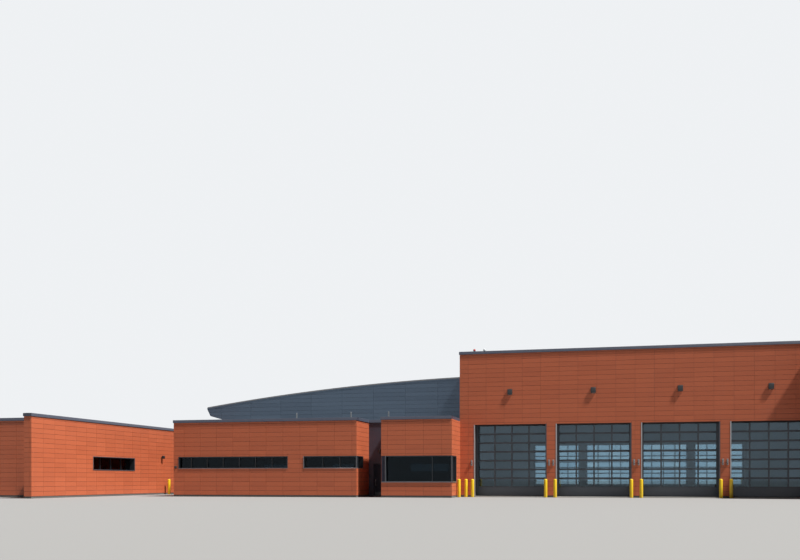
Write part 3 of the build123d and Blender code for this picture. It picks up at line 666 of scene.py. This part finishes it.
rearHoles = [(lowRun - left - windows["rearWidth"] - short, lowRun - left - short, *band) for left in windows["rear"]]
lowCells = wallCells(lowTop, [
    ((officeLeft, lowFront), (officeRight, lowFront), [(*windows[key], *band) for key in ("first", "second")],
     (deep, deep)),
    ((watchLeft, lowFront), (bayLeft, lowFront), [(-1.0, 9.0, *windows["watch"])], (deep, deep)),
    ((wingRight, linkFront), (officeLeft, linkFront), (), (-short, -short)),
    ((bladeOfWing, wingBlade), (wingRight, wingBlade), (), (deep, deep)),
    ((wingLeft, wingFront), (bladeOfWing, wingFront), (), (deep, -short)),
    ((officeRight, lowFront), (officeRight, bayFront), [(0.0, wrap, *band)], flush),
    ((bayLeft, lowFront), (bayLeft, bayFront - short), [(0.0, wrap, *windows["watch"])], flush),
    ((watchLeft, bayFront), (watchLeft, lowFront), (), flush),
    ((officeLeft, linkFront), (officeLeft, lowFront), (), flush),
    ((wingRight, wingBlade), (wingRight, linkFront), [(*windows["wing"], *windows["wingBand"])], flush),
    ((bladeOfWing, wingFront), (bladeOfWing, wingBlade), (), flush),
    ((wingLeft, lowRear), (wingLeft, wingFront), (), flush),
    ((bayLeft - short, lowRear), (wingLeft, lowRear), rearHoles, (0.0, deep)),
])
addBoards("low_panels", lowCells, {**board, "seed": board["seed"] + 1}, "clayPanel")
print("wall panels:", len(bayCells), "on the bay and", len(lowCells), "on the low blocks")

# Sheets that lie on the roofs, long side along X
roofing = {"roll": 0.98, "length": 6.0, "upright": 0.008, "level": 0.008, "least": 0.05, "depth": 0.005,
           "edge": 0.002, "side": 0.002, "uneven": 0.001, "seed": 31, "margin": 0.03}
margin = roofing["margin"]
hallHole = [(officeLeft - 1.0, bayLeft + 1.0, hallFront - margin, hallRear + margin)]
roofCells = []
for x0, x1, y0, y1, z, holes in (
    (officeLeft + lowWall, bayLeft, bayFront + lowWall, lowRear - lowWall, lowRoof, hallHole),
    (officeLeft + lowWall, officeRight - lowWall, lowFront + lowWall, bayFront + lowWall - margin, lowRoof, hallHole),
    (watchLeft + lowWall, bayLeft - lowWall, lowFront + lowWall, bayFront + lowWall - margin, lowRoof, hallHole),
    (bladeOfWing, officeLeft + lowWall - margin, linkFront + lowWall, lowRear - lowWall, lowRoof, hallHole),
    (wingLeft + lowWall, bladeOfWing - margin, wingFront + lowWall, lowRear - lowWall, lowRoof, hallHole),
    (bayLeft + bayWall, bladeLeft, bayFront + bayWall, bayRear - bayWall, bayRoof, ()),
):
    x0, x1, y0, y1 = x0 + margin, x1 - margin, y0 + margin, y1 - margin
    rows = gridLines(y0, y1, y0, roofing["roll"])
    for number, (near, far) in enumerate(pairs(rows)):
        columns = gridLines(x0, x1, x0 + roofing["length"] * (0.5 if number % 2 else 1.0), roofing["length"])
        for left, right in pairs(columns):
            for a, b, c, e in cutCell((left, right, near, far), holes, roofing):
                corners = [(x, y, z) for x, y in ((a, c), (b, c), (b, e), (a, e))]
                roofCells.append((corners, (1, 0, 0), b - a, e - c))
addBoards("roof_sheets", roofCells, roofing, "membraneSheet")

# Copings: folded lengths over a dark core
cap = {"length": 1.5, "gap": 0.004, "kick": 0.004, "lip": 0.006, "fall": 0.003, "ease": 0.005, "core": 0.004,
       "hem": 0.002}


def stripsOf(node):  # the boxes of a node's separate solids
    shape = bmesh.new()
    shape.from_mesh(nodes[node].data)
    bmesh.ops.remove_doubles(shape, verts=shape.verts, dist=weld)
    left, found = set(shape.verts), []
    while left:
        group = rim = {next(iter(left))}
        while rim:
            rim = {line.other_vert(spot) for spot in rim for line in spot.link_edges} - group
            group = group | rim
        left -= group
        spots = [nodes[node].matrix_world @ spot.co for spot in group]
        found.append([(min(spot[axis] for spot in spots), max(spot[axis] for spot in spots)) for axis in range(3)])
    shape.free()
    return sorted(found)


def capWays(strip):  # one strip's width, its lengths with gaps between them, and its whole run for the core
    (x0, x1), (y0, y1), (low, top) = strip
    if x1 - x0 > y1 - y0:
        start, end, width = Vector((x0, y0, top)), Vector((x1, y0, top)), y1 - y0
    else:
        start, end, width = Vector((x1, y0, top)), Vector((x1, y1, top)), x1 - x0
    count = max(1, round((end - start).length / cap["length"]))
    step = (end - start) / count
    slack = step.normalized() * cap["gap"] / 2
    cuts = [(start + step * k - slack, start + step * k + slack) for k in range(1, count)]
    marks = [start] + [spot for cut in cuts for spot in cut] + [end]
    return width, list(zip(marks[::2], marks[1::2])), (start + slack * 4, end - slack * 4)


def capSection(width, height, inset=0.0):  # across to the left of the way, and down
    kick, lip, fall, ease, hem = (cap[key] for key in ("kick", "lip", "fall", "ease", "hem"))
    if inset:
        side, top, drop = kick + inset, fall + inset, height - inset
        return [(-side, top), (-width + side, top), (-width + side, drop), (-side, drop)]
    right = [(0.0, height), (0.0, height - hem), (-kick, height - lip - hem), (-kick, fall + ease),
             (-kick - ease, fall)]
    return right + [(-width / 2, 0.0)] + [(-width - x, y) for x, y in right[::-1]]


capSizes = {}
for node in ("low_coping", "bay_coping"):
    for strip in stripsOf(node):
        width, lengths, whole = capWays(strip)
        found = capSizes.setdefault((round(width, 4), round(strip[2][1] - strip[2][0], 4)), ([], []))
        found[0].extend(lengths)
        found[1].append(whole)
for name, part, inset, finish, hidden in (
    ("coping_lengths", 0, 0.0, "copingPaint", ("low_coping", "bay_coping")),
    ("coping_cores", 1, cap["core"], "sealant", ()),
):
    meshes = [bars(name, ways[part], capSection(*size, inset), finish) for size, ways in capSizes.items()]
    addPiece(name, joinMeshes(name, meshes, finish), hidden)
print("copings:", sum(len(ways[0]) for ways in capSizes.values()), "lengths")

# The hall: boards on its walls, belly and end, and seams on its roof
hall = {"left": officeLeft - 0.485, "leftTop": 3.38, "rightTop": 4.31, "roof": 0.07, "rise": 0.16, "slant": 0.125,
        "endHeight": 0.32, "belly": 4.4, "bellyRise": -0.15, "overhang": 0.02, "stop": 0.004, "steps": 24,
        "bellySteps": 14}
siding = {"course": 0.15, "width": 1.22, "level": 0.0045, "upright": 0.0025, "depth": 0.013, "skin": 0.006,
          "edge": 0.002, "side": 0.001, "uneven": 0.0006, "seed": 17, "least": 0.02, "foot": 0.07, "top": 4.6,
          "short": 0.012}


def arcPoints(a, b, rise, count):  # points on an arc, which bulges to the left of its way where rise is positive
    a, b = Vector(a), Vector(b)
    chord = b - a
    half = chord.length / 2
    side = Vector((-chord.y, chord.x)).normalized() * (1 if rise > 0 else -1)
    radius = (half ** 2 + rise ** 2) / (2 * abs(rise))
    centre = (a + b) / 2 - side * (radius - abs(rise))
    sweep = 2 * asin(half / radius) * (-1 if rise > 0 else 1)
    first = atan2(a.y - centre.y, a.x - centre.x)
    angles = [first + sweep * k / count for k in range(count + 1)]
    return [Vector((centre.x + radius * cos(angle), centre.y + radius * sin(angle))) for angle in angles]


def clipped(polygon, outline):  # the part of a convex polygon inside a convex outline, both counter-clockwise
    for a, b in zip(outline, outline[1:] + outline[:1]):
        if not polygon:
            break
        kept, way = [], b - a
        sides = [way.x * (spot.y - a.y) - way.y * (spot.x - a.x) for spot in polygon]
        for k, spot in enumerate(polygon):
            after, here, there = polygon[(k + 1) % len(polygon)], sides[k], sides[(k + 1) % len(polygon)]
            if here >= 0:
                kept.append(spot)
            if (here > 0 > there) or (here < 0 < there):
                kept.append(spot + (after - spot) * (here / (here - there)))
        polygon = kept
    return polygon


outerBelly = Vector((hall["left"] + hall["slant"], hall["leftTop"] - hall["endHeight"]))
innerBelly = Vector((outerBelly.x + hall["belly"], lowRoof))
topArc = arcPoints((hall["left"], hall["leftTop"] - hall["roof"]), (bayLeft, hall["rightTop"] - hall["roof"]),
                   hall["rise"], hall["steps"])
bellyArc = arcPoints(outerBelly, innerBelly, hall["bellyRise"], hall["bellySteps"])
hallEnd = bayLeft - siding["short"]
hallOutline = bellyArc + [Vector((hallEnd, lowRoof)), Vector((hallEnd, topArc[-1].y))] + topArc[-2::-1]


def sectionCells(y, facing):  # courses on one of the hall's two flat walls: facing is 1 at the front
    made = []
    rows = gridLines(lowRoof + siding["foot"], siding["top"], lowRoof + siding["foot"], siding["course"])
    columns = gridLines(hall["left"], bayLeft, bayLeft, siding["width"])
    for low, high in pairs(rows):
        for left, right in pairs(columns):
            a, b = left + siding["upright"] / 2, right - siding["upright"] / 2
            c, e = low + siding["level"] / 2, high - siding["level"] / 2
            inside = clipped([Vector(spot) for spot in ((a, c), (b, c), (b, e), (a, e))], hallOutline)
            if len(inside) < 3:
                continue
            spans = [max(spot[axis] for spot in inside) - min(spot[axis] for spot in inside) for axis in (0, 1)]
            if min(spans) > siding["least"]:
                made.append(([(spot.x, y, spot.y) for spot in inside[::facing]], (facing, 0, 0), *spans))
    return made


def skinCells(line):  # strips on a bent skin along the hall, seen from below and left
    made = []
    columns = gridLines(hallFront, hallRear, hallFront, siding["width"])
    for a, b in pairs(line):
        way = (b - a).normalized()
        low, high = a + way * siding["level"] / 2, b - way * siding["level"] / 2
        for near, far in pairs(columns):
            c, e = near + siding["upright"] / 2, far - siding["upright"] / 2
            spots = [(spot.x, y, spot.y) for spot, y in ((low, e), (low, c), (high, c), (high, e))]
            made.append((spots, (0, -1, 0), e - c, (high - low).length))
    return made


wallBoards = sectionCells(hallFront, 1) + sectionCells(hallRear, -1)
bellyBoards = skinCells(bellyArc[::-1]) + skinCells([outerBelly, (outerBelly + topArc[0]) / 2, topArc[0]])
addBoards("hall_boards", wallBoards, siding, "hallBoard")
addBoards("hall_belly_boards", bellyBoards, {**siding, "depth": siding["skin"]}, "hallBoard")

seam = {"count": 27, "first": 0.02, "pitch": 0.305, "half": 0.003, "height": 0.02, "bead": 0.005, "root": 0.004}
roofArc = arcPoints((hall["left"], hall["leftTop"]), (bayLeft - hall["stop"], hall["rightTop"]), hall["rise"],
                    hall["steps"])
seamRows = [hallFront + seam["first"] + k * seam["pitch"] for k in range(seam["count"])]
seamSide = [(seam["bead"], -seam["height"]), (seam["bead"], -seam["height"] + 0.004),
            (seam["half"], -seam["height"] + 0.006), (seam["half"], seam["root"])]
addBars("hall_roof_seams", [[(spot.x, y, spot.y) for spot in roofArc] for y in seamRows],
        [(-x, y) for x, y in seamSide[::-1]] + seamSide, "hallBoard")

fascia = {"proud": 0.002, "step": 0.001, "height": 0.016, "lip": 0.004, "drop": 0.002}
proud, tall = fascia["proud"], fascia["height"]
eavesFront, eavesRear = hallFront - hall["overhang"], hallRear + hall["overhang"]
addBars("hall_fascia", [
    [(spot.x, eavesFront, spot.y - fascia["drop"]) for spot in roofArc],
    [(spot.x, eavesRear, spot.y - fascia["drop"]) for spot in roofArc[::-1]],
    [(hall["left"], y, hall["leftTop"] - fascia["drop"]) for y in (eavesRear, eavesFront)],
], [(0.0, 0.0), (proud, 0.0), (proud, tall), (proud + fascia["step"], tall),
    (proud + fascia["step"], tall + fascia["lip"]), (0.0, tall + fascia["lip"])], "fasciaPaint")
print("hall dressed:", len(wallBoards) + len(bellyBoards), "boards and", len(seamRows), "seams")

# Sectional doors: glazing beads, seals and joint lines
leaf = {"width": 2.4394, "stile": 0.075, "mullion": 0.035, "rail": 0.022, "sections": 8, "columns": 4,
        "setback": 0.5, "thick": 0.025, "head": 2.44, "gap": 0.0005, "slack": 0.001}
bead = {"width": 0.007, "depth": 0.007, "seal": 0.022, "line": 0.006, "proud": 0.002, "foot": 0.024, "inset": 0.03}
sectionHeight = (leaf["head"] - doors["floor"]) / leaf["sections"]
litePitch = (leaf["width"] - 2 * leaf["stile"] + leaf["mullion"]) / leaf["columns"]
doorCentres = [firstDoor + index * doors["pitch"] + doors["width"] / 2 for index in range(doors["count"])]
w, h, b = (litePitch - leaf["mullion"]) / 2, (sectionHeight - leaf["gap"]) / 2 - leaf["rail"], bead["width"]
beadFrame = Fixture()
for x0, z0, x1, z1 in ((-w, -h, w, b - h), (-w, h - b, w, h), (-w, b - h, b - w, h - b), (w - b, b - h, w, h - b)):
    beadFrame.block((x0, -bead["depth"], z0), (x1, 0.0, z1))
beadPlaces, sealRuns, lineRuns = [], [], []
half = doors["width"] / 2 - leaf["slack"]
lineHalf = half - bead["inset"]
for outer, inwards, aim in ((bayFront + leaf["setback"], 1.0, 0.0), (bayRear - leaf["setback"], -1.0, 180.0)):
    for x in doorCentres:
        for z in (doors["floor"] + bead["foot"], leaf["head"]):
            sealRuns.append([(x - inwards * half, outer, z), (x + inwards * half, outer, z)])
        for section in range(1, leaf["sections"]):
            z = doors["floor"] + section * sectionHeight + bead["line"] / 2
            lineRuns.append([(x - inwards * lineHalf, outer, z), (x + inwards * lineHalf, outer, z)])
            z = doors["floor"] + (section + 0.5) * sectionHeight
            for column in range(leaf["columns"]):
                liteX = x + (column - (leaf["columns"] - 1) / 2) * litePitch
                beadPlaces.append((liteX, outer + inwards * leaf["thick"], z, aim))
addSpread("door_beads", beadFrame, beadPlaces, "sealant")
sealSection = [(0.0, 0.0), (0.012, 0.0), (0.014, 0.010), (0.012, bead["seal"]), (0.0, bead["seal"])]
lineSection = [(0.0, 0.0), (bead["proud"], 0.001), (bead["proud"], bead["line"] - 0.001), (0.0, bead["line"])]
addBars("door_seals", sealRuns, sealSection, "sealant")
addBars("door_joint_lines", lineRuns, lineSection, "sealant")
print("doors dressed:", len(beadPlaces), "glazed lights")

# Window trims: level ones, upright ones on fronts and upright ones on sides
trim = {"face": 0.007, "out": 0.004, "root": 0.001, "reach": 0.020, "lip": 0.010, "inset": 0.005, "edge": 0.006,
        "watchFoot": 0.516, "watchLeft": 0.135}
face, out, root, reach, lip, inset = (trim[key] for key in ("face", "out", "root", "reach", "lip", "inset"))
faceY, officeSide, wingSide = lowFront - reach, officeRight + reach, wingRight + reach
(sill, head), (wingSill, wingHead) = band, windows["wingBand"]
first, firstEnd, second = (officeLeft + x for x in (*windows["first"], windows["second"][0]))
wingStart, wingEnd = (wingBlade + y for y in windows["wing"])
watchTrim, watchFoot, watchHead = watchLeft + trim["watchLeft"], trim["watchFoot"], windows["watch"][1]
trimMeshes = [bars("trims", ways, section, "trimMetal") for ways, section in (
    ([[(first - lip, faceY, sill), (firstEnd + lip, faceY, sill)],
      [(second - lip, faceY, sill), (officeSide, faceY, sill), (officeSide, lowFront + wrap + lip, sill)],
      *([(wingSide, wingStart - lip, z), (wingSide, wingEnd + lip, z)] for z in (wingSill, wingHead + lip))],
     [(0.0, 0.0), (out, root), (out, face - root), (0.0, face)]),
    ([[(x, faceY, low), (x, faceY, high)] for x, low, high in (
        (second - inset, sill, head + lip), (officeSide - inset, sill, head + lip), (watchTrim, watchFoot, watchHead),
        (bayLeft + reach - trim["edge"], watchFoot, watchHead),
    )], [(-face / 2, root), (-face / 2, -out), (face / 2, -out), (face / 2, root)]),
    ([[(wingSide, y, wingSill - inset), (wingSide, y, wingHead + inset)]
      for y in (wingStart - trim["edge"], wingEnd + trim["edge"])],
     [(-root, -face / 2), (out, -face / 2), (out, face / 2), (-root, face / 2)]),
)]
addPiece("window_trims", joinMeshes("window_trims", trimMeshes, "trimMetal"))

# The recess: upright ribs, and the door's pull, plates, lock and drip
rib = {"width": 0.0716, "course": 9.0, "upright": 0.007, "level": 0.004, "least": 0.01, "depth": 0.008,
       "edge": 0.0015, "side": 0.0015, "uneven": 0.0, "seed": 23, "gap": 0.012, "foot": 0.03, "phase": 0.006,
       "doorway": (0.157, 0.679, -1.0, 1.141)}
ribGap = rib["gap"]
recessRibs = facadeCells((officeRight + ribGap, bayFront), (watchLeft - ribGap, bayFront), (rib["foot"], lowTop), rib,
                         [rib["doorway"]], rib["phase"])
infillRibs = facadeCells((watchLeft, lowFront), (watchTrim - ribGap, lowFront), (watchFoot, watchHead - 0.002),
                         rib)
addBoards("recess_ribs", recessRibs, rib, "recessPaint")
addBoards("watch_infill_ribs", infillRibs, rib, "infillPaint")

recess = {"left": 0.435, "right": 0.885, "low": 0.035, "pull": 0.48, "inset": 0.045, "reach": 0.028, "half": 0.1,
          "radius": 0.006, "bend": 0.014, "lock": 0.64}
leafLeft, leafRight, leafLow, bend = recess["left"], recess["right"], recess["low"], recess["bend"]
pullX, pullY = leafLeft + recess["inset"], bayFront - recess["reach"]
pullEnds = (recess["pull"] - recess["half"], recess["pull"] + recess["half"])


def disc(radius, straight, top, ease):  # the outline of a low disc with an eased rim
    return [(0.0, 0.0), (radius, 0.0), (radius, straight), (radius - ease, top), (0.0, top)]


pullWay = [(pullX, bayFront + 0.0005, pullEnds[0])]  # out from the leaf, up, and back in, with round bends
for centreZ, turned in ((pullEnds[0] + bend, -90.0), (pullEnds[1] - bend, -180.0)):
    for angle in (radians(turned - 15.0 * k) for k in range(7)):
        pullWay.append((pullX, pullY + bend + bend * cos(angle), centreZ + bend * sin(angle)))
pullWay.append((pullX, bayFront + 0.0005, pullEnds[1]))
pull = Fixture().tube(pullWay, recess["radius"], 16)
for z in pullEnds:
    pull.turn(disc(0.013, 0.002, 0.004, 0.003), 20, (pullX, bayFront, z), "Y")
addPiece("recess_pull", pull.mesh("recess_pull", "paleMetal"), ("recess_door_handle",), "recess_leaf")

kick = {"inset": 0.012, "thick": 0.002, "top": 0.13, "ease": 0.0008}
edging = {"near": 0.004, "far": 0.0095, "thick": 0.0012, "levels": ((0.17, 0.55), (0.60, 1.05))}
plates = Fixture().block((leafLeft + kick["inset"], bayFront - kick["thick"], leafLow + kick["inset"]),
                         (leafRight - kick["inset"], bayFront, leafLow + kick["top"]), kick["ease"])
plates.turn(disc(0.014, 0.003, 0.006, 0.003), 24, (pullX, bayFront, recess["lock"]), "Y")
for low, high in edging["levels"]:
    plates.block((leafLeft + edging["near"], bayFront - edging["thick"], low),
                 (leafLeft + edging["far"], bayFront, high))
addPiece("recess_leaf_plates", plates.mesh("recess_leaf_plates", "windowPaint"), (), "recess_leaf")

# Over the door a drip with its lip, and on the threshold a plate
drip = {"left": 0.395, "right": 0.925, "out": 0.022, "inner": 0.019, "low": 1.131, "under": 1.137, "over": 1.138,
        "top": 1.141, "ease": 0.001}
tread = {"left": 0.436, "right": 0.884, "out": 0.004, "deep": 0.058, "low": 0.0301, "top": 0.0325, "ease": 0.0008}
edgesOfDoor = Fixture().block((drip["left"], bayFront - drip["out"], drip["under"]),
                              (drip["right"], bayFront, drip["top"]), drip["ease"])
edgesOfDoor.block((drip["left"], bayFront - drip["out"], drip["low"]),
                  (drip["right"], bayFront - drip["inner"], drip["over"]))
edgesOfDoor.block((tread["left"], bayFront - tread["out"], tread["low"]),
                  (tread["right"], bayFront + tread["deep"], tread["top"]), tread["ease"])
addPiece("recess_door_drip", edgesOfDoor.mesh("recess_door_drip", "windowPaint"))
print("recess dressed:", len(recessRibs) + len(infillRibs), "ribs")

# Lamps over the doors: a shallow housing on a back plate, with a trim line, two screws and a lens below
lamp = {"half": 0.083, "height": 0.19, "out": 0.064, "back": 0.010, "level": 3.525, "round": 0.020, "screw": 0.045,
        "plate": 0.012, "line": 0.022, "lens": 0.024}
w, h, out, back = lamp["half"], lamp["height"] / 2, lamp["out"], lamp["back"]
plate, line = lamp["plate"], lamp["line"]
lampShell = Fixture().block((-w, -out, -h), (w, -back, h), lamp["round"], 4)
lampShell.block((-w + plate, -back - 0.004, -h + plate), (w - plate, 0.0, h - plate))
lampShell.block((-w + line, -out - 0.0015, -h + 0.030), (w - line, -out + 0.002, -h + 0.034))
for x in (-lamp["screw"], lamp["screw"]):
    lampShell.turn([(0.0, out - 0.001), (0.005, out - 0.001), (0.005, out + 0.001), (0.003, out + 0.002),
                    (0.0, out + 0.002)], 10, (x, 0.0, -h + lamp["screw"]), "Y")
lampPlaces = [(x, y, lamp["level"], aim) for y, aim in ((bayFront, 0.0), (bayRear, 180.0)) for x in doorCentres]
addSpread("bay_lamps", lampShell, lampPlaces, "lampPaint", ("bay_wall_lights",))
lens = Fixture().block((-w + lamp["lens"], -out + 0.016, -h - 0.0015),
                       (w - lamp["lens"], -back - 0.012, -h + 0.004), 0.001)
addSpread("bay_lamp_lenses", lens, lampPlaces, "lampLens")

# The lamps over the recess and on the wing, and the bell on the office front
sconce = {"radius": 0.06, "height": 0.12, "stand": 0.085, "overRecess": 1.565, "onWing": 1.475, "wingPlace": 8.35}
r, h, stand = sconce["radius"], sconce["height"] / 2, sconce["stand"]
shell = Fixture().turn([
    (0.0, -h + 0.03), (r * 0.78, -h + 0.03), (r * 0.84, -h + 0.003), (r * 0.95, -h), (r, -h + 0.005), (r, h - 0.030),
    (r - 0.003, h - 0.027), (r - 0.003, h - 0.023), (r, h - 0.020), (r, h - 0.008), (r - 0.008, h), (0.0, h),
], 32, (0.0, -stand, 0.0))
shell.block((-0.02, -stand + r - 0.01, -0.02), (0.02, -0.004, 0.02), 0.003)
shell.turn(disc(0.045, 0.005, 0.008, 0.005), 32, axis="Y")
bell = Fixture().turn([
    (0.0, 0.0), (0.040, 0.0), (0.045, 0.004), (0.045, 0.020), (0.036, 0.024), (0.036, 0.030), (0.043, 0.034),
    (0.045, 0.048), (0.040, 0.060), (0.026, 0.067), (0.010, 0.069), (0.006, 0.0697), (0.0, 0.0697),
], 32, (officeLeft + 0.075, lowFront, 1.026), "Y")
wallLamps = joinMeshes("wall_lamps", [spread("sconces", shell, [
    ((officeRight + watchLeft) / 2, bayFront, sconce["overRecess"], 0.0),
    (wingRight, wingBlade + sconce["wingPlace"], sconce["onWing"], 90.0),
], "lampPaint"), bell.mesh("bell", "lampPaint")], "lampPaint")
addPiece("wall_lamps", wallLamps, ("small_wall_lights",))

# Signals beside the doors: two hooded lenses on a box
signal = {"level": 1.2, "drop": 0.096, "radius": 0.022, "inset": 0.08}
r, signalHalf = signal["radius"], doors["width"] / 2 + signal["inset"]
signalBox = Fixture().block((-0.028, -0.012, -0.146), (0.028, 0.0, 0.050), 0.002)
signalBox.block((-0.024, -0.026, -0.142), (0.024, -0.010, 0.046), 0.003)
for z in (0.0, -signal["drop"]):
    signalBox.turn([(r - 0.004, 0.020), (r, 0.020), (r, 0.0585), (r - 0.003, 0.0600), (r - 0.005, 0.0585),
                    (r - 0.005, 0.030), (r - 0.004, 0.020)], 24, (0.0, 0.0, z), "Y")
signalPlaces = [(x + side * signalHalf, bayFront, signal["level"], 0.0) for x in doorCentres for side in (-1, 1)]
addSpread("signal_boxes", signalBox, signalPlaces, "signalPaint", ("bay_signal_lights",))
lensShape = [(0.0, 0.024), (0.0165, 0.024), (0.0165, 0.030), (0.0140, 0.0345), (0.0080, 0.0375), (0.0, 0.0385)]
for name, drop, finish in (
    ("signal_upper_lenses", 0.0, "paleLens"), ("signal_lower_lenses", signal["drop"], "smokedLens"),
):
    addSpread(name, Fixture().turn(lensShape, 20, (0.0, 0.0, -drop), "Y"), signalPlaces, finish)

# Guard posts, beacons on the parapet and vents on the low roof
guard = {"radius": 0.0548, "height": 0.61, "crown": 0.026, "sides": 28, "seed": 41, "wander": 0.4}
r, h = guard["radius"], guard["height"]
crown = [(r * cos(radians(15 * k)), h - guard["crown"] * (1 - sin(radians(15 * k)))) for k in range(6)]
post = Fixture().turn([
    (0.0, 0.0), (r - 0.004, 0.0), (r - 0.004, 0.010), (r - 0.001, 0.012), (r, 0.016), *crown, (0.0, h),
], guard["sides"])
postPlaces = sorted({tuple(round(sum(box[axis]) / 2, 4) for axis in (0, 1)) for box in stripsOf("bollards")})
addSpread("bollard_posts", post, [(*spot, 0.0, 0.0) for spot in postPlaces], "guardPaint",
          ("bollards",), guard["wander"], guard["seed"])

beacon = {"first": 0.48, "pitch": 0.345, "level": 4.93, "sides": 28}
beaconPlaces = [
    (bayLeft + beacon["first"] + k * beacon["pitch"], bayFront + bayWall / 2, beacon["level"]) for k in range(2)
]
feet = Fixture()
for spot in beaconPlaces:
    feet.turn([(0.0, 0.0), (0.044, 0.0), (0.044, 0.006), (0.036, 0.010), (0.030, 0.012), (0.030, 0.018),
               (0.044, 0.021), (0.044, 0.028), (0.0, 0.028)], beacon["sides"], spot)
addPiece("beacon_feet", feet.mesh("beacon_feet", "galvanised"), ("roof_beacons",))
dome = [(0.0, 0.027), (0.041, 0.027), (0.041, 0.056), (0.038, 0.069), (0.031, 0.079), (0.020, 0.0865),
        (0.010, 0.0892), (0.0, 0.0896)]
for name, finish, spot in zip(("beacon_red_dome", "beacon_pale_dome"), ("redLens", "paleLens"), beaconPlaces):
    addPiece(name, Fixture().turn(dome, beacon["sides"], spot).mesh(name, finish))

vent = {"radius": 0.0225, "height": 0.62, "cap": 0.0248, "offsets": (3.735, 5.79, 7.175), "setback": 2.2}
r, h, c = vent["radius"], vent["height"], vent["cap"]
ventPipe = Fixture().turn([
    (0.0, 0.0), (0.070, 0.0), (0.070, 0.004), (0.045, 0.012), (r + 0.002, 0.060), (r + 0.002, 0.110), (r, 0.112),
    (r, h - 0.050), (r - 0.003, h - 0.048), (r - 0.003, h - 0.034), (c, h - 0.032), (c, h - 0.012),
    (c - 0.004, h - 0.004), (c - 0.012, h), (0.0, h),
], 24)
ventPlaces = [(officeLeft + offset, lowFront + vent["setback"], lowRoof, 0.0) for offset in vent["offsets"]]
addSpread("vent_pipes", ventPipe, ventPlaces, "galvanised", ("roof_vents",))
print("lamps, guards, beacons and vents placed")

# Stage, light and camera
stageLook = {"size": 1600.0, "drop": 0.002, "floor": (0.295, 0.292, 0.286), "sky": (0.86, 0.88, 0.90),
             "ambient": (0.032, 0.038, 0.048)}
sunLook = {"towards": (0.51, -0.112, 0.853), "strength": 6.3, "spread": 3.0, "colour": (1.0, 0.985, 0.96)}
cameraLook = {"x": 9.25, "behind": 31.8, "height": 0.575, "turn": 13.95, "lens": 42.73, "shift": 0.25,
              "reach": 3000.0}

half = stageLook["size"] / 2
corners = [(-half, -half, 0), (half, -half, 0), (half, half, 0), (-half, half, 0)]
floorPiece = newObject("floor", newMesh("floor", corners, (), [(0, 1, 2, 3)]))
floorPiece.location.z = -stageLook["drop"]
sheet = startFinish("stageFloor")
closeFinish(sheet, {"Base Color": rgb(stageLook["floor"]), "Roughness": 0.9})
floorPiece.data.materials.append(finishes["stageFloor"])

world = bpy.data.worlds.new("studio")
bpy.context.scene.world = world
world.use_nodes = True
world.node_tree.nodes.clear()
sheet = Wire(world.node_tree)
path = sheet.node("ShaderNodeLightPath", output="Is Camera Ray")
seen = path.maths("MAXIMUM", path, path.other("Is Glossy Ray"))
seen = seen.maths("MAXIMUM", seen, path.other("Is Transmission Ray"))
colour = seen.between(stageLook["ambient"], stageLook["sky"])
background = sheet.node("ShaderNodeBackground", {}, {"Color": colour, "Strength": 1.0})
sheet.node("ShaderNodeOutputWorld", {}, {"Surface": background})

sun = bpy.data.lights.new("keyLight", "SUN")
sun.energy = sunLook["strength"]
sun.angle = radians(sunLook["spread"])
sun.color = sunLook["colour"]
holder = newObject("keyLight", sun)
holder.rotation_mode = "QUATERNION"
holder.rotation_quaternion = Vector(sunLook["towards"]).to_track_quat("Z", "Y")

data = bpy.data.cameras.new("camera")
data.lens = cameraLook["lens"]
data.sensor_width = 36.0
data.shift_y = cameraLook["shift"]
data.clip_end = cameraLook["reach"]
camera = newObject("camera", data)
camera.location = (cameraLook["x"], bayFront - cameraLook["behind"], cameraLook["height"])
camera.rotation_euler = (radians(90.0), 0.0, radians(cameraLook["turn"]))
bpy.context.scene.camera = camera
bpy.context.scene.view_settings.view_transform = "Standard"
print("stage, light and camera ready")
